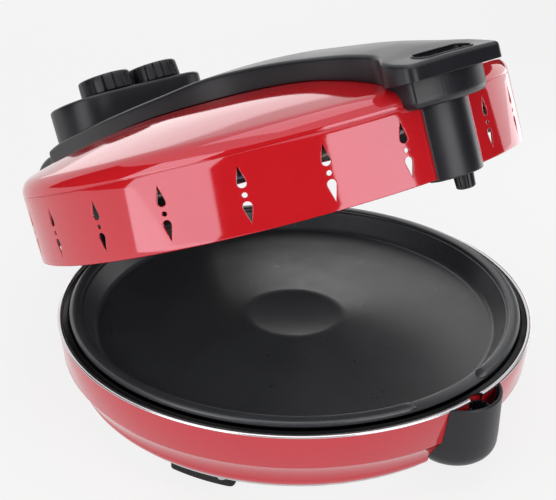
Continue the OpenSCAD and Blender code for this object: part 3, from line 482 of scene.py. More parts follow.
def make_rim_and_bowl():
    """Bright rim with a rounded top and the black bowl inside it, both with a bite for the spigot."""
    bite = lathe([(0.0, RIM_Z - 6), (BITE_R, RIM_Z - 6), (BITE_R, RIM_Z + 2), (0.0, RIM_Z + 2)], 64,
                 centre=(0, DRIVE_Y))
    roll = arc(0, 0, 1, 0, 180, 15) * [TRIM_W / 2, 1.15] + [RIM_R - TRIM_W / 2, RIM_Z - 1.15]
    lip = SHELL_TOP_R - SHELL_T - 0.1
    rim = [(RIM_R - 0.1, SHELL_TOP + 0.1)] + roll.tolist()
    rim += [(RIM_R - TRIM_W, RIM_Z - 2.0), (lip, RIM_Z - 2.0), (lip, SHELL_TOP + 0.1)]
    trim = piece("rim_rolled_trim", lathe(rim, 300), "base", TRIM, node="rim_trim")
    carve(trim, "base", bite)

    low = LINER_FLOOR
    inside = [(RIM_R - TRIM_W - 0.2, RIM_Z - 0.9), (LINER_R + 0.6, RIM_Z - 0.8), (LINER_R, RIM_Z - 1.3),
              (LINER_R - 0.7, low + 7), (LINER_R - 1.6, low + 3.2), (LINER_R - 3.6, low + 1.0), (LINER_R - 7, low),
              (140, low), (138, low + 1.2), (132, low + 1.2), (130, low), (96, low), (94, low + 1.0),
              (88, low + 1.0), (86, low), (8.1, low)]
    under = [(r - (0.9 if r > LINER_R - 4 else 0.0), z - 0.85) for r, z in reversed(inside)]
    bowl = piece("base_liner_bowl", lathe(inside + under, 240), "base", ENAMEL, node="base_liner")
    carve(bowl, "base", bite)


def make_feet():
    """Arc-shaped feet in a ring, plus round ones under the hinge bracket and in the middle."""
    outer, width, half = SHELL_LOW_R - 12.8, 16.0, 22.6
    middle = outer - width / 2
    feet = []
    for angle in ARC_FEET_AT:
        block = np.array([(outer - width, -half), (outer, -half), (outer, half), (outer - width, half)])
        block = refined(rounded(block, 4, 7), 2.5)
        turn = math.radians(angle) + block[:, 1] / middle
        block = block[:, :1] * np.stack([np.cos(turn), np.sin(turn)], -1)
        spine = [arc(0, 0, middle, angle + s * 6, angle, 2)[0] for s in (-1, 1)]
        feet.append(moulding(block, flat(0), flat(FOOT_H), spine, 0.6, 0.9, rings=3))
    for x, y, r in ((-40, HINGE_Y - 2, 7.6), (40, HINGE_Y - 2, 7.6), (0, 0, 12.0)):
        feet.append(lathe([(0, 0), (r - 1.2, 0), (r - 0.6, 0.4), (r - 0.3, 1.2), (r, FOOT_H), (0, FOOT_H)], 48,
                          centre=(x, y), closed=False))
    piece("feet_rubber", join(*feet), "base", RUBBER, node="feet")


def base_cutter():
    """The whole base as a closed solid, a hair larger than the red wall, to trim what is set against it."""
    profile = base_profile(0.12)
    top = [(0.0, RIM_Z + 6), (RIM_R + 0.15, RIM_Z + 6), (RIM_R + 0.15, RIM_Z - 1.3)]
    return lathe(top + profile[1:] + [(0.0, profile[-1][1])], 240, closed=False)


def make_cup(cutter):
    """Drive cup: a rounded bucket about its own axis, open above, with a flange in the wall's recess."""
    outer = [(0, 14.6), (15, 14.6)] + arc(15.5, 27.6, 13, -90, -8, 9).tolist() + [(CUP_R, 33), (CUP_R, 61.5)]
    mouth = [(CUP_R - 0.5, 62.1), (CUP_R - 1.7, 62.1), (CUP_R - 2.2, 61.6)]
    inner = [(CUP_R - 2.3, 48.5), (CUP_R - 4.0, 46.4), (CUP_R - 6.5, 46), (0, 46)]
    bucket = lathe(outer + mouth + inner, 180, centre=(0, CUP_Y), closed=False)
    cup = piece("drive_cup_bucket", bucket, "base", BLACK, node="drive_housing")
    bore = lathe([(0, 23.8), (8.08, 23.8), (8.08, 70), (0, 70)], 64, centre=(0, DRIVE_Y), closed=False)
    carve(cup, "base", cutter, bore)
    low, high = RIM_R - 9.0, RIM_R - 4.6
    plate = np.array([(low, 21.0), (high - 3.8, 21.0), (high - 0.6, STEP_Z - 1.2), (low, STEP_Z - 1.2)])
    flange = lathe(rounded(plate, 0.8, 3), 40, -90 - FLANGE_HALF, 2 * FLANGE_HALF)
    piece("drive_cup_flange", flange, "base", BLACK, node="drive_housing")


def make_bracket(cutter):
    """Hinge bracket: side profile with rounded corners carried across, its foot trimmed to the base wall."""
    back, half = HINGE_Y + 12.7, 54.0
    side = [(150, FOOT_H), (back, FOOT_H), (back, 49.5), (HINGE_Y + 9.2, 52), (HINGE_Y + 9, HINGE_Z)]
    side += arc(HINGE_Y, HINGE_Z, 9, 20, 160, 9).tolist() + [(HINGE_Y - 9, 51.5), (150, 50)]
    outline = rounded(side, [0, 4, 3, 3] + [0.5] * 10 + [3, 0], 4)
    box = upright(moulding(refined(outline, 6), flat(-half), flat(half), [(176, 30), (190, 40)], 1.6, 1.6, rings=5))
    bracket = piece("hinge_bracket_block", box, "base", BLACK, node="hinge_bracket")
    carve(bracket, "base", cutter)
    gland = [(3.6, -5.4), (7.2, -5.4), (7.2, -2.6), (6, -2.4), (6, 0), (8.0, 0), (8.4, 0.5), (8.4, 1.9), (8.0, 2.4),
             (7.0, 2.5), (6.9, 3.6), (6.5, 3.9), (6.6, 4.6), (6.1, 5.0), (6.2, 5.8), (5.6, 6.6), (4.6, 7.0),
             (3.6, 6.6)]
    x, y, z = -26.0, back, FOOT_H + 9.9
    sleeve = moved(lathe(gland, 64), lambda p: np.stack([x + p[:, 0], y + p[:, 2], z - p[:, 1]], -1))
    piece("cord_gland_sleeve", sleeve, "base", BLACK, node="cord_gland")


def make_pan():
    """Dish with a curved wall and flat edge, and a rolled bead that tapers off where it stops at the front."""
    dish = [(0, PAN_FLOOR), (30, PAN_FLOOR), (31.5, PAN_FLOOR + 0.5), (38, PAN_FLOOR + 0.5), (39.5, PAN_FLOOR),
            (PAN_R - 11, PAN_FLOOR)]
    dish += arc(PAN_R - 11, PAN_FLOOR + 5, 5, -75, -22, 6).tolist()
    dish += [(PAN_R - 1.4, 60.6), (PAN_R - 0.2, 63.2), (PAN_R + 1.2, 63.8), (PAN_R + BEAD_W + 1, 63.8),
             (PAN_R + BEAD_W + 1.1, 63.2), (PAN_R + BEAD_W + 0.9, 62.6), (PAN_R + 1.4, 62.6), (PAN_R + 0.2, 61.4)]
    dish += [(PAN_R - 4.9, PAN_FLOOR + 2.2), (PAN_R - 7.6, PAN_FLOOR - 0.6), (PAN_R - 11, PAN_FLOOR - 1.2),
             (0, PAN_FLOOR - 1.2)]
    mid_r, mid_z = PAN_R + 1 + BEAD_W / 2, 64.2
    ring = np.concatenate([arc(0, 0, 1, 0, 180, 13), [(-0.98, -0.4), (0.98, -0.4)]])
    ring = np.sign(ring) * np.abs(ring) ** [0.75, 0.9]
    start, end = BEAD_GAP[1], BEAD_GAP[0] + 360
    a = np.linspace(start, end, 260)
    taper = np.clip(np.minimum(a - start, end - a) / 2.2, 0.0, 1.0)
    taper = np.sqrt(1 - (1 - taper) ** 2)[:, None]
    r = mid_r + ring[:, 0] * BEAD_W / 2 * (0.35 + 0.65 * taper)
    z = 63.4 + (mid_z - 63.4 + ring[:, 1] * (BEAD_TOP - mid_z)) * taper + 0.2
    a = np.radians(a)[:, None]
    bead, faces = grid(np.stack([r * np.cos(a), r * np.sin(a), z], -1), False, True)
    faces += [list(range(len(ring))), list(range(len(bead) - len(ring), len(bead)))]
    piece("pan_dish", lathe(dish, 240, closed=False), "pan", NONSTICK, node="baking_pan")
    piece("pan_rolled_bead", (bead, faces), "pan", NONSTICK, node="baking_pan", sharp=50)


def vent_cell(centre, low, high, up, mid, rho):
    """Wall patch with one hole: rings from the hole's outline to the patch's edge.

    A point is outline + t (edge - outline); rho(psi) is the hole's radius at angle psi from straight up,
    about its middle. centre is in degrees from the front, and up is the number of steps from low to high.
    """
    half, across = CELL_HALF, CELL_STEPS
    s = np.linspace(-half, half, across + 1)
    h = np.linspace(low, high, up + 1)
    edge = np.concatenate([np.stack([s[:-1], np.full(across, low)], -1), np.stack([np.full(up, half), h[:-1]], -1),
                           np.stack([s[:0:-1], np.full(across, high)], -1),
                           np.stack([np.full(up, -half), h[:0:-1]], -1)])
    psi = np.arctan2(edge[:, 0], edge[:, 1] - mid)
    hole = rho(np.abs(psi))[:, None] * np.stack([np.sin(psi), np.cos(psi)], -1) + [0, mid]
    t = np.array([0, 0.1, 0.5, 1.0])[:, None, None]
    p = hole + t * (edge - hole)
    a = np.radians(centre) + p[..., 0] / LID_R
    return grid(np.stack([LID_R * np.sin(a), -LID_R * np.cos(a), LID_Z + p[..., 1]], -1), False, True)


def make_lid():
    """Red lid: the dome, a rounded shoulder, a pressed crease and the vented wall with its open front."""
    cell = math.degrees(CELL_HALF / LID_R)
    lean = math.acos(VENT_R / (VENT_LEN - VENT_R))

    def tear(psi):
        return np.where(psi >= lean, VENT_R, VENT_R / np.cos(np.minimum(lean - psi, 1.5)))

    low_mid, top_mid = LOW_TIP + VENT_LEN - VENT_R, HIGH_TIP - VENT_LEN + VENT_R
    # Low edge, high edge and steps of the patches with the lower vent, the dot and the upper vent
    low_row, dot_row, top_row = rows = [(3.4, 19.4, 12), (19.4, 24.2, 4), (24.2, 40.4, 12)]
    levels = np.unique(np.concatenate([np.linspace(a, b, n + 1) for a, b, n in rows]).round(6))
    centres = [s * (VENT_FIRST + VENT_STEP * k) for s in (-1, 1) for k in range(VENT_COUNT)]
    parts = []
    for c in centres:
        parts.append(vent_cell(c, *low_row, low_mid, lambda psi: tear(np.pi - psi)))
        parts.append(vent_cell(c, *dot_row, DOT_Z, lambda psi: np.full_like(psi, DOT_R)))
        parts.append(vent_cell(c, *top_row, top_mid, tear))

    notch = math.degrees(math.asin(COLUMN_HALF / LID_R))
    edges = sorted([c + s * cell for c in centres for s in (-1, 1)])
    stops = [-180.0] + edges + [180.0]
    angles = []
    for i, (a, b) in enumerate(zip(stops, stops[1:])):
        if i % 2:
            angles.append(a + (b - a) * np.arange(CELL_STEPS) / CELL_STEPS)
        elif a < 0 < b:
            angles.append(np.concatenate([np.linspace(a, -notch, 4)[:-1], np.linspace(-notch, notch, 9)[:-1],
                                          np.linspace(notch, b, 4)[:-1]]))
        else:
            n = max(2, round((b - a) / 2.0))
            angles.append(a + (b - a) * np.arange(n) / n)
    angles = np.concatenate(angles)
    between = (angles + np.append(angles[1:], 180.0)) / 2
    open_front = np.abs(between) < notch
    in_cell = (np.abs(between[:, None] - centres) < cell).any(1)

    def skin(profile, gone):
        r, z = np.asarray(profile, float).T[..., None]
        a = np.radians(angles)
        x = r * np.sin(a)
        return grid(np.stack([x, -(r * np.cos(a)), np.broadcast_to(z, x.shape)], -1), False, True, keep=~gone)

    band = [(LID_R, LID_Z + h) for h in levels]
    parts.append(skin(band, np.broadcast_to(in_cell | open_front, (len(band) - 1, len(angles)))))
    hem = [(LID_R - 0.5, LID_Z), (LID_R - 0.1, LID_Z + 0.35), (LID_R, LID_Z + 1.0), (LID_R, LID_Z + low_row[0])]
    parts.append(skin(hem, np.broadcast_to(open_front, (len(hem) - 1, len(angles)))))
    wall = [(LID_R, LID_Z + top_row[1]), (LID_R, CREASE_Z - 0.9), (LID_R - 0.1, CREASE_Z - 0.6),
            (LID_R - 0.45, CREASE_Z - 0.4), (LID_R - 0.45, CREASE_Z - 0.1), (LID_R - 0.15, CREASE_Z + 0.1)]
    join_angle = 70.0
    wall += arc(DOME_R, CREASE_Z, SHOULDER_R, 4, join_angle, 13).tolist()
    start_r = DOME_R + SHOULDER_R * math.cos(math.radians(join_angle)) - 1.5
    radii = start_r * np.linspace(1, 0, 30) ** 0.9
    blend = CREASE_Z + SHOULDER_R * math.sin(math.radians(join_angle)) - dome(start_r + 1.5)
    fade = np.clip((radii - start_r + 30) / 30, 0, 1) ** 2
    wall += np.stack([radii, dome(radii) + blend * fade], -1).tolist()
    gone = np.broadcast_to(open_front, (len(wall) - 1, len(angles))).copy()
    gone[2:] = False
    parts.append(skin(wall, gone))
    shell = piece("lid_red_shell", join(*parts), "lid", RED, node="lid_shell", sharp=32, wall=SHELL_T)
    shell.data.materials.append(ENAMEL)
    shell.modifiers["wall"].material_offset = 1

    z = LID_LINER_Z
    under = [(LID_R - 1.4, z), (LID_R - 4, z + 0.2), (LID_R - 12, z + 0.6), (LID_R - 18, z + 2.6), (126, z + 3.5),
             (124, z + 2.9), (119, z + 2.9), (117, z + 3.7), (106, z + 4.0), (104, z + 3.3), (99, z + 3.3),
             (97, z + 4.2), (60, z + 5.3), (58, z + 4.5), (50, z + 4.5), (48, z + 5.5), (0, z + 6)]
    over = [(r, h + 0.8) for r, h in reversed(under)]
    liner = lathe(under + over, 240, closed=False)
    liner = piece("lid_liner_reflector", liner, "lid", REFLECTOR, node="lid_liner")
    front = COLUMN_HALF + 0.3
    cut = moulding(np.array([(-front, -190.0), (front, -190.0), (front, -162.2), (-front, -162.2)]), flat(z - 9),
                   flat(z + 12), [(0, -176), (0, -176)], 0.01, 0, rings=2)
    carve(liner, "lid", cut)


def make_heaters():
    """Each element is a ring of tube, open at the hinge side, whose ends sit in sleeves."""
    leg = 7.2
    a = np.radians(np.linspace(90 + leg, 450 - leg, 220))
    for node, z, reach, body in (("lower_element", LINER_FLOOR + 7, -16, "base"),
                                 ("upper_element", LID_LINER_Z - 7, 21, "lid")):
        ring = tube(np.stack([ELEMENT_R * np.cos(a), ELEMENT_R * np.sin(a), np.full_like(a, z)], -1), TUBE_R, 20)
        ends = []
        for s in (-1, 1):
            b = math.radians(90 + s * leg)
            r = TUBE_R + 0.4
            low, high = z + min(-r, reach), z + max(r, reach)
            ends.append(lathe([(0, low), (r - 0.5, low), (r, low + 0.5), (r, high - 0.5), (r - 0.5, high), (0, high)],
                              28, centre=(ELEMENT_R * math.cos(b), ELEMENT_R * math.sin(b)), closed=False))
        piece(node + "_ring", join(ring, *ends), body, SHEATH, node=node)


# Black mouldings of the lid

# Rows of (y, height of the top cover's edge) and (y, half width of the top cover)
COVER_EDGE = [(-189, 131.2), (-172, 135.1), (-158, 139.2), (-128, 145.2), (-86, 150.2), (-42, 153.8), (-10, 154.5),
              (28, 151.0), (58, 148.4), (80, 146.4), (97, 144.7), (129, 141.3), (154, 138.7), (170, 136.4),
              (190, 131.6), (196, 129.6)]
COVER_HALF = [(-189, HANDLE_HALF), (-170, HANDLE_HALF), (-166, 39.0), (-161, 34.6), (-156, 30.4), (-150, 27.4),
              (-142, 26.3), (-120, 26.0), (-83, 26.0), (-60, 29.0), (-30, 37.0), (0, 50.0), (17, 56.0), (35, 60.5),
              (70, 66.5), (100, 69.4), (120, TAIL_HALF), (190, TAIL_HALF)]


def cover_half(y):
    """Half width of the top cover."""
    return through(y, COVER_HALF)


def cover_top(x, y):
    """Upper face of the top cover: its edge line plus a parabola across, which is lower on the handle plate."""
    crown = np.interp(y, (-172, -140), (0.8, 2.0))
    return through(y, COVER_EDGE) + crown * (1 - np.clip(x / cover_half(y), -1, 1) ** 2)


def cover_outline():
    """Plan of the top cover: handle plate with round corners, waist and broad tail."""
    corner, back = 6.0, 6.0
    y = np.concatenate([np.arange(HANDLE_Y + corner, -166, 3.0), np.arange(-166, -138, 1.5),
                        np.arange(-138, TAIL_Y - back, 4.0)])
    front_x, back_x = np.arange(1.5, HANDLE_HALF - corner - 1, 3.0), np.arange(TAIL_HALF - back - 3, 1, -3.0)
    right = np.concatenate([
        np.stack([front_x, np.full_like(front_x, HANDLE_Y)], -1),
        arc(HANDLE_HALF - corner, HANDLE_Y + corner, corner, -90, 0, 9),
        np.stack([cover_half(y), y], -1)[1:],
        arc(TAIL_HALF - back, TAIL_Y - back, back, 0, 90, 9),
        np.stack([back_x, np.full_like(back_x, TAIL_Y)], -1)])
    return np.concatenate([right, right[::-1] * [-1, 1]])


def make_cover():
    """Handle and spine in one moulding with a grip recess."""
    def low(x, y):
        return dome(np.minimum(np.hypot(x, y), DOME_R)) + 0.35

    cover = moulding(cover_outline(), low, cover_top, [(0, -168), (0, 150)], 2.4, 0.4, rings=8)
    cover = piece("top_cover_moulding", cover, "lid", BLACK, node="top_cover", sharp=30)
    end, spine = SLOT_W / 2, SLOT_HALF - 6
    slot = np.concatenate([arc(SLOT_HALF - end, SLOT_Y, end, -90, 90, 16),
                           arc(-SLOT_HALF + end, SLOT_Y, end, 90, 270, 16)])
    recess = moulding(slot, flat(HANDLE_Z + 2.4), flat(150), [(-spine, SLOT_Y), (spine, SLOT_Y)], 0.5, 1.5, rings=3)
    carve(cover, "lid", recess, sharp=30)
    bead = tube(np.column_stack([slot, cover_top(slot[:, 0], slot[:, 1])]), 0.7, 12, closed=True)
    piece("grip_recess_bead", bead, "lid", BLACK, sharp=60)


def make_front():
    """Neck below the handle and the column that carries the pan drive."""
    front, radius, half, back = DRIVE_Y - 14.0, 65.0, 31.7, -156.5
    lean = math.degrees(math.asin((half - 3) / radius))
    bow = arc(0, front + radius, radius, -90 - lean, -90 + lean, 21)
    corners = np.concatenate([bow, [(half, bow[-1, 1] + 1.2), (half, back), (-half, back), (-half, bow[0, 1] + 1.2)]])
    cut = np.concatenate([[2.0], np.full(19, 0.3), [2.0], [4.0, 0.3, 0.3, 4.0]])
    neck = moulding(refined(rounded(corners, cut, 4), 4), flat(NECK_Z), flat(HANDLE_Z - 0.1),
                    [(-15, -168), (15, -168)], 0.3, 5.0, rings=4)
    piece("front_neck_moulding", neck, "lid", BLACK, node="front_housing")
    lean = math.degrees(math.acos(COLUMN_HALF / COLUMN_R))
    bow = arc(0, CUP_Y, COLUMN_R, -180 + lean, -lean, 31)
    back = DRIVE_Y + 9.5
    corners = np.concatenate([bow, [(COLUMN_HALF, back), (-COLUMN_HALF, back)]])
    cut = np.concatenate([[1.6], np.full(29, 0.3), [1.6], [2.0, 2.0]])
    column = moulding(refined(rounded(corners, cut, 4), 4), flat(COLUMN_Z), flat(NECK_Z + 1), [(-8, -170), (8, -170)],
                      0.3, 1.0, rings=4)
    piece("front_column_moulding", column, "lid", BLACK, node="front_housing")


def make_spigot():
    """Drive spigot: radius = core + rib height times a rounded square wave of the angle, slightly tapered."""
    ribs, core, height = 10, 5.0, 1.2
    a = np.linspace(0, 2 * math.pi, ribs * 16, endpoint=False)
    wave = np.clip(0.5 + 1.1 * np.cos(ribs * a), 0, 1)
    wave = wave * wave * (3 - 2 * wave)
    # Rows of height, share of the core's radius and share of the ribs
    levels = np.array([(53.7, 0.0, 0), (53.7, 0.78, 0), (54.0, 0.88, 0.4), (54.7, 0.93, 1), (58, 0.96, 1),
                       (62.2, 1, 1), (62.2, 0.6, 0), (62.2, 0.0, 0)])
    r = core * levels[:, 1:2] + height * wave * levels[:, 2:3] * np.minimum(levels[:, 1:2], 1)
    p = np.stack([r * np.cos(a), DRIVE_Y + r * np.sin(a), np.broadcast_to(levels[:, :1], r.shape)], -1)
    shaft = lathe([(0, 61), (3, 61), (3, 109.4), (2.6, 109.8), (0, 109.8)], 32, centre=(0, DRIVE_Y), closed=False)
    spigot = join(grid(p, False, True), shaft)
    piece("drive_spigot_ribbed", spigot, "spigot", BLACK, node="drive_spigot")


def pod_outline():
    """Plan of the control pod: a rectangle with large round corners."""
    x, c = POD_HALF - POD_CORNER, POD_CORNER
    near, far = POD_FRONT + c, POD_FRONT + POD_DEPTH - c
    quarters = [arc(x, far, c, 0, 90, 19), arc(-x, far, c, 90, 180, 19), arc(-x, near, c, 180, 270, 19),
                arc(x, near, c, 270, 360, 19)]
    return refined(np.concatenate(quarters), 5)


def make_pod():
    """Control pod with a tilted top, a shadow gap at its foot, and a printed ring of ticks round each knob."""
    def low(x, y):
        return through(np.minimum(y, TAIL_Y), COVER_EDGE) - np.where(y > TAIL_Y, 2.0, 0.5)

    middle, reach = POD_FRONT + POD_DEPTH / 2, POD_HALF - POD_CORNER
    pod = moulding(pod_outline(), low, pod_top, [(-reach, middle), (reach, middle)], 2.6, 0.8)
    piece("control_pod_housing", pod, "lid", BLACK, node="control_pod")
    ticks, edge_x, middle_x = [], 43, 1.5
    for side in (-1, 1):
        for angle in np.radians(np.arange(-30, 211, 20)):
            long = abs(math.sin(angle) - 1) < 1e-6
            r = np.array([KNOB_R + 1.2, KNOB_R + (3.6 if long else 2.4)])
            w = 0.35
            c, s = math.cos(angle), math.sin(angle)
            foot = np.array([(c * r[0] - s * w, s * r[0] + c * w), (c * r[0] + s * w, s * r[0] - c * w),
                             (c * r[1] + s * w, s * r[1] - c * w), (c * r[1] - s * w, s * r[1] + c * w)])
            if abs(foot[:, 0] + side * KNOB_X).max() > edge_x or foot[:, 0].min() * side < -KNOB_X + middle_x:
                continue
            p = np.concatenate([np.column_stack([foot, np.full(4, h)]) for h in (-0.2, 0.08)])
            faces = [[0, 1, 2, 3], [4, 5, 6, 7]] + [[i, (i + 1) % 4, 4 + (i + 1) % 4, 4 + i] for i in range(4)]
            ticks.append((on_pod(p, side * KNOB_X, KNOB_Y), faces))
    piece("dial_tick_marks", join(*ticks), "lid", PRINT)


def make_knob(side, body, node, grooves):
    """Knob: radius = R - depth * exp(-(distance to the nearest groove / width)^4), with a dished top."""
    a = np.linspace(0, 2 * math.pi, grooves * 18, endpoint=False)
    pitch = 2 * math.pi / grooves
    away = np.abs((a / pitch) % 1 - 0.5) * pitch * KNOB_R
    dent = 1.1 * np.exp(-(away / 0.6) ** 4)
    # Rows of height, radius and share of the grooves' depth
    levels = np.array([(0.8, 0, 0), (0.8, KNOB_R - 0.5, 0.9), (1.4, KNOB_R, 1), (4, KNOB_R - 0.1, 1),
                       (9, KNOB_R - 0.3, 1), (KNOB_H - 2, KNOB_R - 0.5, 1), (KNOB_H - 1.2, KNOB_R - 0.8, 0.8),
                       (KNOB_H - 0.6, KNOB_R - 1.2, 0.4), (KNOB_H - 0.15, KNOB_R - 1.9, 0), (KNOB_H, KNOB_R - 2.8, 0),
                       (KNOB_H, KNOB_R - 4.0, 0), (KNOB_H - 0.25, KNOB_R - 4.5, 0), (KNOB_H - 1.0, KNOB_R - 5.0, 0),
                       (KNOB_H - 1.15, KNOB_R - 6, 0), (KNOB_H - 0.9, KNOB_R / 2, 0), (KNOB_H - 0.8, 0, 0)])
    r = levels[:, 1:2] - dent * levels[:, 2:3]
    p = np.stack([r * np.cos(a), r * np.sin(a), np.broadcast_to(levels[:, :1], r.shape)], -1)
    knob = moved(grid(p, False, True), lambda q: on_pod(q, side * KNOB_X, KNOB_Y))
    piece(node + "_fluted", knob, body, BLACK, node=node, sharp=42)
    bar = np.array([(-0.8, KNOB_R - 11.0), (0.8, KNOB_R - 11.0), (0.8, KNOB_R - 2.6), (-0.8, KNOB_R - 2.6)])
    mark = moulding(refined(rounded(bar, 0.5, 4), 3), flat(KNOB_H - 1.3), flat(KNOB_H + 0.3),
                    [(0, KNOB_R - 10), (0, KNOB_R - 4)], 0.25, 0, rings=2)
    piece(node + "_fluted_pointer", moved(mark, lambda q: on_pod(q, side * KNOB_X, KNOB_Y)), body, PRINT)


def make_hood():
    """Cover over the hinge: its back line carried across with rounded ends, plus the cheeks' bosses."""
    half, edge, count = TAIL_HALF - 4.0, 3.5, 40
    line = np.array([(165, 129.4), (190, 128.8), (200, 128.0), (208, 126.0), (216, 122.8), (224, 117.6), (231, 110.2),
                     (236, 101.5), (238.6, 92.5), (238.6, 85.5)])
    t = np.linspace(0, 1, count) * (len(line) - 1)
    line = np.stack([through(t, np.column_stack([np.arange(len(line)), line[:, k]])) for k in (0, 1)], -1)
    tangent = np.gradient(line, axis=0)
    tangent /= np.linalg.norm(tangent, axis=1, keepdims=True)
    inward = np.stack([tangent[:, 1], -tangent[:, 0]], -1)
    foot = np.array([(172.4, 66), (205, 66), (237, 83.5)])
    share = np.linspace(0, 2, count)
    foot = np.stack([np.interp(share, [0, 1, 2], foot[:, k]) for k in (0, 1)], -1)
    rows = []
    for side in (-1, 1):
        half_rows = []
        for k in np.linspace(1, 0, 6)[:-1]:
            p = line + inward * edge
            half_rows.append(np.column_stack([np.full(count, side * half), p + (foot - p) * k]))
        for a in np.radians(np.linspace(0, 90, 6)):
            p = line + inward * edge * (1 - math.sin(a))
            half_rows.append(np.column_stack([np.full(count, side * (half - edge * (1 - math.cos(a)))), p]))
        rows += half_rows if side < 0 else half_rows[::-1]
    hood = grid(np.array(rows))
    piece("hinge_hood_moulding", hood, "lid", BLACK, node="hinge_cover", sharp=34, wall=2.4)
    bosses = []
    for side in (-1, 1):
        ring = [(4.3, 57.2), (9.2, 57.2), (10, 58), (10, 65.2), (9.4, 65.9), (5.8, 65.9), (4.8, 65.2), (4.3, 65.2)]
        bosses.append(moved(lathe(ring, 56),
                            lambda q: np.stack([side * q[:, 2], HINGE_Y + q[:, 0], HINGE_Z + q[:, 1]], -1)))
        plate = np.array([(HINGE_Y - 8.8, HINGE_Z + 5), (HINGE_Y + 8.8, HINGE_Z + 5), (HINGE_Y + 10, HINGE_Z + 17),
                          (HINGE_Y - 10, HINGE_Z + 17)])
        web = moulding(rounded(plate, 0.6, 3), flat(57.4), flat(65.4), [(HINGE_Y, HINGE_Z + 10)] * 2, 0.4, 0.4,
                       rings=2)
        bosses.append(moved(upright(web), lambda q: q * [side, 1, 1]))
    piece("hinge_cheek_bosses", join(*bosses), "lid", BLACK, node="hinge_cover")


def dress_cad():
    """Every node that stays as it is gets the finish of its real material."""
    wear = {"bottom_plate": SHEET, "plate_screws": TURNED, "hinge_pin": TURNED, "terminal_block": CERAMIC,
            "thermal_fuse": SHEET, "lower_element_clips": SHEET, "upper_element_clips": SHEET, "spindle_bush": NYLON,
            "thrust_bearing": NYLON, "idler_post": TURNED, "idler_gear": NYLON, "drive_coupling": BLACK,
            "spindle": TURNED, "main_gear": NYLON, "pan_hub": SHEET, "cover_screws": TURNED, "drive_motor": SHEET,
            "timer_shaft": TURNED, "timer_mechanism": SHEET, "heat_shaft": TURNED, "heat_switch": CERAMIC,
            "thermostat": SHEET}
    for node, material in wear.items():
        obj = frame["nodes"][node]
        for part in [obj] + list(obj.children):
            if part.type == "MESH":
                part.data.materials.clear()
                part.data.materials.append(material)


# Room, in metres and degrees from the front

# Soft boxes stand on the floor: name, azimuth, distance, width, low and high edge, radiance
SOFT_BOXES = [
    ("left_box", -81.5, 0.75, 0.46, 0.01, 0.60, 2.9),
    ("front_box", 0, 1.00, 0.62, 0.10, 0.72, 3.6),
    ("right_box", 86, 0.62, 0.36, 0.01, 0.34, 1.3),
    ("back_box", 145, 1.60, 1.60, 0.01, 0.60, 0.75),
]
# Height, side and radiance
TOP_BOX = (1.5, 1.2, 1.3)
# First and last azimuth, distance and height
SCREEN = (-155, 118, 1.7, 1.2)
FLOOR_HALF = 30.0
WORLD_FILL = 0.60
BACKGROUND = 0.95
FLOOR = 0.88
FLOOR_PALE = 0.86


def make_room():
    """Pale floor, even world and soft boxes; camera, mirror and glass rays see the pale background."""
    scene = bpy.context.scene
    scene.view_settings.view_transform = "Standard"
    world = bpy.data.worlds.new("studio")
    scene.world = world
    world.use_nodes = True
    nodes, links = world.node_tree.nodes, world.node_tree.links
    nodes.clear()
    fill, out = nodes.new("ShaderNodeBackground"), nodes.new("ShaderNodeOutputWorld")
    fill.inputs["Strength"].default_value = WORLD_FILL
    back = nodes.new("ShaderNodeBackground")
    show_background(nodes, links, fill, back, 1.0, out)

    h = FLOOR_HALF
    mesh = bpy.data.meshes.new("floor")
    mesh.from_pydata([(-h, -h, 0), (h, -h, 0), (h, h, 0), (-h, h, 0)], [], [(0, 1, 2, 3)])
    floor = bpy.data.objects.new("floor", mesh)
    scene.collection.objects.link(floor)
    m, nodes, links = new_material("floor_paper")
    shader = nodes["Principled BSDF"]
    shader.inputs["Base Color"].default_value = (FLOOR, FLOOR, FLOOR, 1)
    shader.inputs["Roughness"].default_value = 0.9
    shader.inputs["Specular IOR Level"].default_value = 0.1
    paper = nodes.new("ShaderNodeEmission")
    show_background(nodes, links, shader, paper, FLOOR_PALE, nodes["Material Output"])
    mesh.materials.append(m)

    for name, azimuth, reach, width, low, high, radiance in SOFT_BOXES:
        away = np.array([math.sin(math.radians(azimuth)), -math.cos(math.radians(azimuth)), 0.0])
        side = np.array([math.cos(math.radians(azimuth)), math.sin(math.radians(azimuth)), 0.0])
        lamp_at(name, side, np.array([0.0, 0.0, 1.0]), away * reach + [0, 0, (low + high) / 2], width, high - low,
                radiance)
    x, y, z = np.eye(3)
    lamp_at("top_box", x, y, TOP_BOX[0] * z + [0, 0.1, 0], TOP_BOX[1], TOP_BOX[1], TOP_BOX[2])

    a, h = np.meshgrid(np.radians(np.linspace(*SCREEN[:2], 28)), np.linspace(0.0, SCREEN[3], 3), indexing="ij")
    r = SCREEN[2]
    screen, faces = grid(np.stack([r * np.sin(a), -r * np.cos(a), h], -1))
    mesh = bpy.data.meshes.new("dark_screen")
    mesh.from_pydata(screen.tolist(), [], faces)
    screen = bpy.data.objects.new("dark_screen", mesh)
    scene.collection.objects.link(screen)
    screen.visible_camera = False
    m, nodes, links = new_material("screen_dark_cloth")
    nodes["Principled BSDF"].inputs["Base Color"].default_value = (0.03, 0.03, 0.03, 1)
    nodes["Principled BSDF"].inputs["Roughness"].default_value = 1.0
    mesh.materials.append(m)


